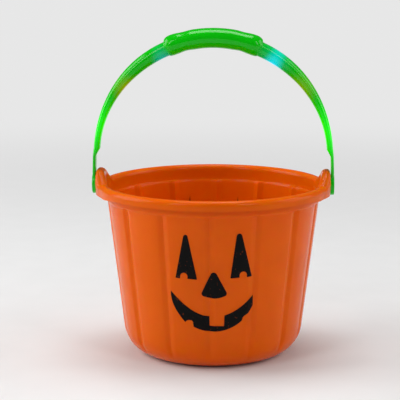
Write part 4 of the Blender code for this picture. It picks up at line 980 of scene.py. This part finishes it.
# %% Cut and build up the back half
SCREWS = (-0.0740, -0.0396, 0.0396, 0.0740)
DOOR_SCREW = -0.0332
SWITCH = 0.0200
POST_RADIUS = 0.0030
SHANK_HOLE, HEAD_HOLE, HEAD_RECESS = 0.0012, 0.0022, 0.0026
KEY_HOLE = 0.0045
SHELVES = ((-0.0368, BAY_START - 0.0006), (BAY_END + 0.0006, -0.0047))
outside = GRIP_DEPTH
carve(back_half, box("front side", (-0.2, -0.2, SPLIT), (0.2, SEAM / 2, 0.4)))
for side in (-1, 1):
    carve(back_half, strap_end(side), "UNION")
posts = [across("post", s, POST_RADIUS, SEAM / 2, section(s)[2] - 0.0011) for s in SCREWS]
carve(back_half, joined(posts, "posts"), "UNION")
shanks = [across("shank hole", s, SHANK_HOLE, -SEAM, outside) for s in SCREWS]
carve(back_half, joined(shanks, "shank holes"))
heads = [across("head hole", s, HEAD_HOLE, section(s)[2] - HEAD_RECESS, outside) for s in SCREWS]
carve(back_half, joined(heads, "head holes"))
shelves = [box("shelf", (-(b - a) / 2, 0.0036, -0.0066), ((b - a) / 2, 0.0062, 0.0066),
               arch_frame((a + b) / 2, GRIP_SHIFT)) for a, b in SHELVES]
carve(back_half, joined(shelves, "shelves"), "UNION")
carve(back_half, curved_box("door opening", -0.0362, -0.0053, 0.0062, outside, 0.0062))
carve(back_half, curved_box("cell opening", BAY_START + 0.0001, BAY_END - 0.0001, 0.0, outside, 0.0061))
carve(back_half, across("door shank hole", DOOR_SCREW, SHANK_HOLE, SEAM, outside))
carve(back_half, across("button hole", SWITCH, KEY_HOLE, 0.0058, outside, sides=48))
print("back half:", count(back_half), "triangles")

# %% [markdown]
# ## The front half
# It keeps what lies in front of the seam and above the straps. Slimmer posts take the screws in blind pilot holes,
# which are no wider than the screws' thread. Two short posts carry the circuit board.

# %% Cut and build up the front half
PILOT_HOLE = 0.0009
carve(front_half, box("front keep", (-0.2, -0.2, SPLIT + GAP), (0.2, -SEAM / 2, 0.4)), "INTERSECT")
posts = [across("post", s, 0.0020, -section(s)[2] + 0.0008, -SEAM / 2) for s in SCREWS]
posts += [across("board post", SWITCH, 0.0014, -0.0095, -0.0018, along) for along in (-0.0075, 0.0075)]
carve(front_half, joined(posts, "posts"), "UNION")
pilots = [across("pilot hole", s, PILOT_HOLE, -section(s)[2] + 0.0026, SEAM) for s in SCREWS]
carve(front_half, joined(pilots, "pilot holes"))
print("front half:", count(front_half), "triangles")

# %% [markdown]
# ## The halves take their places
# Each half replaces the plain CAD half, and both ride on the handle's body, because they never part in use. Edges
# of more than 32 degrees stay sharp, so that the rim of every opening stays crisp.

# %% Hand over the halves
for half, name in ((back_half, "handle_back"), (front_half, "handle_front")):
    half.name = name
    tidy(half)
    smooth(half, 32)
    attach(half, "handle")
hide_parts("handle_back_shell")
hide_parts("handle_front_shell")
print("handle:", count(back_half) + count(front_half), "triangles")

# %% [markdown]
# ## The battery door
# The door fills an opening in the back of the grip and is flush with it, so it is cut from the same lofted section.
# Its thick ends stand on two shelves, one end holds a small screw, and four shallow ribs near the other end give
# a fingernail something to lift it by.

# %% Cut the door from the grip's section
RIBS = 4
RIB_STEP = 0.0014
door = loft("battery_door_plate", stations(-0.0440, -0.0010), SKIN, SIDES)
carve(door, curved_box("door keep", -0.0359, -0.0056, 0.0065, outside, 0.0059), "INTERSECT")
carve(door, loft("door hollow", stations(BAY_START + GAP, BAY_END - GAP), HANDLE_WALL + SKIN, 28))
carve(door, across("door clearance", DOOR_SCREW, SHANK_HOLE, SEAM, outside))
recess = section(DOOR_SCREW)[2] - HEAD_RECESS
carve(door, across("door counterbore", DOOR_SCREW, HEAD_HOLE, recess, outside, sides=32))
for i in range(RIBS):
    here = arch_frame(-0.0118 + i * RIB_STEP, GRIP_SHIFT)
    carve(door, box("rib groove", (-0.0003, 0.0101, -0.0040), (0.0003, 0.0110, 0.0040), here))
tidy(door)
smooth(door, 30)
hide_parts("battery_door")
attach(door, "door")
print("door:", count(door), "triangles")

# %% [markdown]
# ## The push button
# A round key with a dished top stands 1.2 mm proud of the back of the grip, and two wings under the skin keep it
# from falling out. It is turned from rings, and the wings are one bevelled block joined to its foot.

# %% Turn the button and join its wings


def facing_back(s, y):
    """A frame whose Z points out of the handle's back."""
    return arch_frame(s, section(s)[0], y) @ Matrix.Rotation(-math.pi / 2, 4, "X")


KEY_PROUD = 0.0012
KEY_FOOT = 0.0068
key_height = section(SWITCH)[2] + KEY_PROUD - KEY_FOOT
profile = [(0.0006, key_height - 0.00042), (0.0014, key_height - 0.00038), (0.0022, key_height - 0.00024),
           (0.0028, key_height - 0.00008), (0.0031, key_height), (0.0034, key_height - 0.00004),
           (0.0037, key_height - 0.0003), (0.0039, key_height - 0.0008), (0.0041, key_height - 0.0014),
           (0.0042, key_height - 0.0021), (0.0042, 0.0002), (0.0041, 0.0)]
button = turned("push_button_key", profile, 64)
wings = apply(box("wings", (-0.0070, -0.0028, 0.0), (0.0070, 0.0028, 0.0010)), "BEVEL", width=0.0002, segments=2)
carve(button, wings, "UNION")
tidy(placed(button, facing_back(SWITCH, KEY_FOOT)))
smooth(button, 35)
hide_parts("push_button")
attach(button, "button")
print("button:", count(button), "triangles")

# %% [markdown]
# ## The screws
# Five small pan head screws with a cross recess hold the case and the door. One screw is turned with a ringed
# shank that stands for its thread, its cross is cut with two tapered blocks, and each place gets its own copy.

# %% Turn one screw of each length and copy it


def screw(name, length):
    """A screw whose head stands on its own origin and points to +Z."""
    profile = [(0.0005, 0.0015), (0.0010, 0.00145), (0.0014, 0.00132), (0.0017, 0.00108), (0.00186, 0.0008),
               (0.0019, 0.0005), (0.0019, 0.0001), (0.0018, 0.0), (0.00085, 0.0)]
    depth = 0.0006
    while depth < length - 0.0013:
        profile += [(0.00072, -depth), (0.0009, -depth - 0.00022), (0.0009, -depth - 0.0003),
                    (0.00072, -depth - 0.00052)]
        depth += 0.00055
    profile += [(0.0007, -length + 0.0010), (0.0003, -length)]
    blank = turned(name, profile, 28)
    for turn in (0.0, math.pi / 2):
        slot = box("cross", (-0.0010, -0.00022, 0.0008), (0.0010, 0.00022, 0.0022))
        edit(slot)
        pick(lambda p: p.z < 0.0010)
        bpy.ops.transform.resize(value=(0.55, 0.8, 1), center_override=(0, 0, 0.0008))
        leave()
        slot.rotation_euler = (0, 0, turn)
        carve(blank, slot)
    return tidy(blank)


screw_places = {f"case_screw_{i + 1}": s for i, s in enumerate(SCREWS)}
screw_places["battery_door_screw"] = DOOR_SCREW
screws = []
patterns = {}
for node, s in screw_places.items():
    seat = section(s)[2] - HEAD_RECESS
    reach = round(seat + GAP - 0.0025 if s == DOOR_SCREW else seat + GAP + 0.0042, 6)
    if reach not in patterns:
        patterns[reach] = screw(f"screw pattern {len(patterns) + 1}", reach)
    piece = placed(copied(patterns[reach], node + "_turned"), facing_back(s, seat + GAP))
    smooth(piece, 40)
    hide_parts(node)
    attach(piece, "door" if node == "battery_door_screw" else "handle")
    screws.append(piece)
for pattern in patterns.values():
    bpy.data.objects.remove(pattern)
print(len(screws), "screws,", sum(count(piece) for piece in screws), "triangles")

# %% [markdown]
# ## The cells
# Three button cells lie in a row along the grip. Each is a drawn steel can whose smaller cap stands out of a
# plastic gasket ring. One cell is turned, with the gasket as a shallow groove, and copied twice.

# %% Turn one cell and copy it
BAY_REACH = 0.01079
CONTACT = 0.0004
CELL_CAN, CELL_PITCH = 0.0047, 0.0054 + GAP
profile = [(0.0020, 0.0047), (0.0054, 0.0047), (0.00562, 0.00466), (0.00576, 0.00452), (0.0058, 0.0043),
           (0.0058, 0.0004), (0.00574, 0.00012), (0.0055, 0.0), (0.00505, 0.00002), (0.0049, 0.0003),
           (0.0046, 0.0003), (0.0045, -0.0001), (0.0045, -0.00052), (0.0044, -0.00066), (0.0042, -0.0007)]
cell = turned("cell", profile, 56)
smooth(cell, 35)
cells = []
bay = arch_frame(BAY_MIDDLE, GRIP_SHIFT, 0.0012)
for i in range(3):
    shift = Matrix.Translation((BAY_REACH - GAP - CONTACT - CELL_CAN - i * CELL_PITCH, 0, 0))
    piece = placed(copied(cell, f"button_cell_{i + 1}_turned"), bay @ shift @ Matrix.Rotation(math.pi / 2, 4, "Y"))
    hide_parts(f"button_cell_{i + 1}")
    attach(piece, "handle")
    cells.append(piece)
bpy.data.objects.remove(cell)
print("cells:", sum(count(piece) for piece in cells), "triangles")

# %% [markdown]
# ## Wiring shader nodes
# A finish is a small network of nodes. Adding a node, setting it and linking its inputs is the same three steps
# every time, so short helpers do it: an input gets either a plain value or the output of another node.

# %% Helpers for shader nodes


def feed(tree, node, inputs):
    """Give a node's inputs, by name or number, a value or a link."""
    for key, value in inputs.items():
        if isinstance(value, bpy.types.NodeSocket):
            tree.links.new(value, node.inputs[key])
        else:
            node.inputs[key].default_value = value


def step(tree, kind, inputs=None, **settings):
    """Add a shader node, set it and feed its inputs. Its outputs are returned."""
    node = tree.nodes.new("ShaderNode" + kind)
    for key, value in settings.items():
        setattr(node, key, value)
    feed(tree, node, inputs or {})
    return node.outputs


def number(tree, operation, *values):
    """One math step on sockets or numbers."""
    return step(tree, "Math", dict(enumerate(values)), operation=operation)["Value"]


def blend_in(tree, mask, colour):
    """Change a material's base colour to another where the mask is 1."""
    shader = tree.nodes["Principled BSDF"]
    base = shader.inputs["Base Color"].links[0].from_socket
    blended = step(tree, "Mix", {0: mask, 6: base, 7: colour}, data_type="RGBA")
    feed(tree, shader, {"Base Color": blended[2]})


print("wiring is ready")

# %% [markdown]
# ## Finishes
# Each finish works on the object's own coordinates: a base colour broken up by a broad noise, roughness that varies
# with it, and a fine bump. Sizes are in metres, so one scale fits every piece.

# %% A builder for finishes


def finish(name, colour, roughness, metallic=0.0, variation=0.08, grain=900.0, bump=0.00002, subsurface=0.0,
           specular=0.5):
    """A Principled material with colour and roughness variation and a fine bump."""
    material = bpy.data.materials.new(name)
    material.use_nodes = True
    tree = material.node_tree
    place = step(tree, "TexCoord")["Object"]
    broad = step(tree, "TexNoise", {"Vector": place, "Scale": 28.0, "Detail": 3.0})["Fac"]
    fine = step(tree, "TexNoise", {"Vector": place, "Scale": grain, "Detail": 2.0})["Fac"]
    ramp = tree.nodes.new("ShaderNodeValToRGB")
    for stop, position, share in zip(ramp.color_ramp.elements, (0.3, 0.7), (1 - variation, 1 + variation)):
        stop.position = position
        stop.color = (*[min(1, c * share) for c in colour], 1)
    feed(tree, ramp, {"Fac": broad})
    rough = step(tree, "MapRange", {"Value": broad, "To Min": roughness * 0.85, "To Max": roughness * 1.2})
    relief = step(tree, "Bump", {"Height": fine, "Strength": 0.4, "Distance": bump})
    feed(tree, tree.nodes["Principled BSDF"], {
        "Base Color": ramp.outputs["Color"], "Roughness": rough["Result"], "Normal": relief["Normal"],
        "Metallic": metallic, "Specular IOR Level": specular, "Subsurface Weight": subsurface,
        "Subsurface Radius": (0.006, 0.0010, 0.0003), "Subsurface Scale": 1.0})
    return material


def dress(obj, material):
    """Give obj one finish."""
    obj.data.materials.clear()
    obj.data.materials.append(material)


print("finishes can be made")

# %% [markdown]
# ## The glow of the lamps
# The green shell is translucent and lit from inside by small lamps, so each lamp shows as a soft patch of its own
# colour. Each patch is an emission that fades with the distance from the lamp's place. The blue one is brighter on
# one side, because the lamps blink in turn, and a red lamp behind green plastic looks amber.

# %% Glow round the lamps
# An even painted green glow over the whole shell, under the lamps' patches.
BASE_GLOW = 0.09


def glow_patch(tree, total, centre, reach, colour, sharpness):
    """Add one patch of colour that fades out at reach from its centre to the emission so far."""
    away = step(tree, "VectorMath", {0: step(tree, "TexCoord")["Object"], 1: centre}, operation="DISTANCE")["Value"]
    near = step(tree, "MapRange", {"Value": away, "From Min": reach, "From Max": 0.0})["Result"]
    power = number(tree, "POWER", near, sharpness)
    part = step(tree, "VectorMath", {0: colour, "Scale": power}, operation="SCALE")["Vector"]
    return step(tree, "VectorMath", {0: total, 1: part}, operation="ADD")["Vector"]


def light_up(material):
    """Give a material the glow of all six lamps."""
    tree = material.node_tree
    total = step(tree, "CombineXYZ", {1: BASE_GLOW})["Vector"]
    patches = [
        (-0.0485, -0.0040, 0.0125, (0.0, 0.16, 0.55), 1.4),
        (0.0575, -0.0020, 0.0120, (0.0, 0.70, 1.70), 1.3),
        (0.0570, -0.0010, 0.0210, (0.0, 0.25, 0.28), 1.8),
        (-0.0930, -0.0075, 0.0170, (0.44, 0.02, 0.0), 1.5),
        (0.0930, -0.0070, 0.0190, (0.28, 0.03, 0.0), 1.5),
        (-0.1340, 0.0, 0.0330, (0.0, 0.65, 0.0), 1.3),
        (0.1380, 0.0, 0.0360, (0.0, 0.70, 0.0), 1.2),
    ]
    for s, rho, reach, colour, sharpness in patches:
        total = glow_patch(tree, total, tuple(arch_frame(s, rho).translation), reach, colour, sharpness)
    feed(tree, tree.nodes["Principled BSDF"], {"Emission Color": total, "Emission Strength": 1.0})
    return len(patches)


print("glow over a green of", BASE_GLOW)

# %% [markdown]
# ## The print seen from inside
# The wall is thin and lets some light through, so from inside the pail the eyes on the far side show as darker
# places in the orange. A mask does this in the material: it compares a place's distance from the middle line of
# the eye with the eye's width at that height. The mask stays a little inside the printed edge, so that nothing
# of it shows outside.

# %% Shade the wall behind the printed eyes
MASK_EDGE = 0.0014
ABOVE_TIP = 0.0030
BITE_TOP = 0.0060


def behind_eye(tree, outer, inner, top, turn):
    """A mask that is 1 behind one printed eye."""
    place = step(tree, "TexCoord")["Object"]
    split = step(tree, "SeparateXYZ", {"Vector": step(tree, "VectorRotate", {"Vector": place, "Angle": -turn},
                                                      rotation_type="Z_AXIS")["Vector"]})
    foot = (outer[1] + inner[1]) / 2
    middle = (outer[0] + inner[0]) / 2
    share = number(tree, "DIVIDE", number(tree, "SUBTRACT", split["Z"], foot), top[1] + ABOVE_TIP - foot)
    line = number(tree, "ADD", number(tree, "MULTIPLY", share, top[0] - middle), middle)
    width = number(tree, "MULTIPLY", number(tree, "SUBTRACT", 1.0, share), abs(outer[0] - inner[0]) / 2)
    off = number(tree, "ABSOLUTE", number(tree, "SUBTRACT", split["X"], line))
    inside = number(tree, "SUBTRACT", width, off)
    edge = step(tree, "MapRange", {"Value": inside, "From Min": 0.0, "From Max": MASK_EDGE},
                interpolation_type="SMOOTHSTEP")["Result"]
    front = number(tree, "LESS_THAN", split["Y"], -0.05)
    above = number(tree, "GREATER_THAN", split["Z"], foot + BITE_TOP)
    return number(tree, "MULTIPLY", edge, number(tree, "MULTIPLY", front, above))


def shade_prints(material):
    """Darken a wall material behind the four eyes."""
    tree = material.node_tree
    mask = 0.0
    for turn in (PRINT_TURN, PRINT_TURN + math.pi):
        for outer, inner, top, radius, bite in EYES.values():
            mask = number(tree, "MAXIMUM", mask, behind_eye(tree, outer, inner, top, turn))
    blend_in(tree, mask, (0.30, 0.030, 0.0004, 1))
    return len(tree.nodes)


print(2 * len(EYES), "eyes to shade")

# %% [markdown]
# ## Pinholes in the ink
# Pad printing on a curved wall leaves small pinholes in the ink, where the orange shows a little. A fine noise that
# is cut off high gives a few small specks, and the rest stays a plain satin black.

# %% Speckle the ink
SPECK_SCALE = 520.0
SPECK_LOW, SPECK_HIGH = 0.76, 0.82


def pinholes(material):
    """Let a few small specks of dark orange show in an ink."""
    tree = material.node_tree
    place = step(tree, "TexCoord")["Object"]
    fine = step(tree, "TexNoise", {"Vector": place, "Scale": SPECK_SCALE, "Detail": 0.0})["Fac"]
    speck = step(tree, "MapRange", {"Value": fine, "From Min": SPECK_LOW, "From Max": SPECK_HIGH})["Result"]
    blend_in(tree, speck, (0.10, 0.016, 0.001, 1))
    return len(tree.nodes)


print("specks start at a noise of", SPECK_LOW)

# %% [markdown]
# ## Dressing the pail and the handle
# The pail is a glossy orange plastic that lets light in a little, and its specular share is low because a strong one
# would wash the deep orange out under pale lamps. The print is a satin black, and the handle a glossy, bright green.

# %% Dress the pail and the handle
orange = finish("orange plastic", (0.72, 0.113, 0.0004), 0.16, variation=0.04, bump=0.000003, subsurface=0.5,
                specular=0.10)
ink_black = finish("black ink", (0.002, 0.002, 0.002), 0.38, specular=0.08)
green = finish("green plastic", (0.001, 0.43, 0.0015), 0.11, variation=0.05, grain=400.0, bump=0.000002,
               subsurface=0.1, specular=0.32)
print(light_up(green), "patches of glow")
print(shade_prints(orange), "nodes in the orange")
print(pinholes(ink_black), "nodes in the ink")
dress(pail, orange)
for ink in prints:
    dress(ink, ink_black)
for half in (back_half, front_half, door):
    dress(half, green)

# %% [markdown]
# ## Dressing what the handle holds
# The button is a darker green, screws and contacts are zinc plated, and the cells have the warmer sheen of nickel.
# The pieces that stay as the CAD made them get the plain colours of such electronics: black resin, a green board,
# red, black and grey insulation, and a glossy lens in the colour of each lamp.

# %% Dress the button, the screws, the cells and what lies inside
steel = finish("zinc plated steel", (0.60, 0.60, 0.62), 0.3, metallic=1.0)
nickel = finish("nickel plate", (0.70, 0.70, 0.67), 0.25, metallic=1.0)
dress(button, finish("button plastic", (0.004, 0.30, 0.010), 0.35, specular=0.3))
for piece in screws:
    dress(piece, steel)
for piece in cells:
    dress(piece, nickel)
plain = {
    "battery_spring": steel, "contact_plate_positive": steel, "contact_plate_negative": steel,
    "switch_stem": finish("pale plastic", (0.75, 0.75, 0.72), 0.4),
    "switch_body": finish("switch body plastic", (0.02, 0.02, 0.02), 0.45),
    "circuit_board": finish("board laminate", (0.02, 0.16, 0.05), 0.4),
    "control_chip": finish("black resin", (0.01, 0.01, 0.01), 0.3),
    "battery_lead_red": finish("red insulation", (0.55, 0.02, 0.015), 0.5),
    "battery_lead_black": finish("black insulation", (0.02, 0.02, 0.02), 0.5),
}
grey = finish("grey insulation", (0.35, 0.35, 0.36), 0.5)
for side in ("left", "right"):
    plain["lamp_lead_" + side] = grey
for colour, tint in (("blue", (0.05, 0.5, 1.0)), ("red", (1.0, 0.2, 0.03)), ("green", (0.05, 1.0, 0.1))):
    lens = finish(colour + " lens", tint, 0.15)
    for side in ("left", "right"):
        plain[f"{colour}_lamp_{side}"] = lens
for name, material in plain.items():
    dress(nodes[name], material)
print(len(plain), "carried-over nodes dressed")

# %% [markdown]
# ## The floor
# A large pale floor fills the view. Far from the pail it turns into an even pale backdrop, but only for what the
# camera sees directly, in reflections and through clear pieces, so that it doesn't light the pail from all sides.

# %% Floor
FADE_START, FADE_END = 0.25, 1.6
bpy.ops.object.select_all(action="DESELECT")
bpy.ops.mesh.primitive_plane_add(size=14.0, location=(0, 0, 0))
floor = bpy.context.active_object
floor.name = "floor"
paper = finish("pale paper", (0.78, 0.78, 0.78), 0.9, variation=0.01, grain=300.0, bump=0.00001, specular=0.2)
tree = paper.node_tree
away = step(tree, "VectorMath", {0: step(tree, "TexCoord")["Object"]}, operation="LENGTH")["Value"]
far = step(tree, "MapRange", {"Value": away, "From Min": FADE_START, "From Max": FADE_END},
           interpolation_type="SMOOTHSTEP")["Result"]
ray = step(tree, "LightPath")
seen = number(tree, "MAXIMUM", ray["Is Camera Ray"], ray["Is Glossy Ray"])
seen = number(tree, "MAXIMUM", seen, ray["Is Transmission Ray"])
white = step(tree, "Emission", {"Color": (0.80, 0.80, 0.80, 1)})["Emission"]
matt = tree.nodes["Principled BSDF"].outputs["BSDF"]
backdrop = step(tree, "MixShader", {"Fac": number(tree, "MULTIPLY", seen, far), 1: matt, 2: white})["Shader"]
feed(tree, tree.nodes["Material Output"], {"Surface": backdrop})
dress(floor, paper)
print(f"floor turns into backdrop from {FADE_START} m to {FADE_END} m")

# %% [markdown]
# ## Lamps and world
# The light is soft and plain: one large lamp on each side, the left one brighter, one from above, two narrow ones
# in front that draw the bright lines along the handle, and a faint pale world. The side lamps are large, because a
# small one would show as a hard white patch on the grip.

# %% Lamps and world
AIM = Vector((0, 0, 0.12))


def lamp(name, place, width, height, power):
    """A white rectangular lamp that looks at the middle of the pail."""
    data = bpy.data.lights.new(name, "AREA")
    data.shape = "RECTANGLE"
    data.size = width
    data.size_y = height
    data.energy = power
    obj = bpy.data.objects.new(name, data)
    bpy.context.scene.collection.objects.link(obj)
    obj.location = place
    obj.rotation_euler = (AIM - Vector(place)).to_track_quat("-Z", "Y").to_euler()
    return obj


lamp("left", (-1.65, 0.05, 0.9), 1.4, 1.6, 25)
lamp("right", (1.65, 0.10, 0.9), 1.4, 1.6, 14)
lamp("front left", (-0.80, -1.15, 1.05), 0.34, 1.1, 5.4)
lamp("front right", (0.90, -1.10, 1.05), 0.34, 1.1, 4.0)
lamp("top", (0.0, 0.25, 2.0), 1.1, 1.1, 19)
world = bpy.data.worlds.new("studio")
world.use_nodes = True
world.node_tree.nodes["Background"].inputs["Color"].default_value = (1, 1, 1, 1)
world.node_tree.nodes["Background"].inputs["Strength"].default_value = 0.10
bpy.context.scene.world = world
bpy.context.scene.view_settings.view_transform = "Standard"
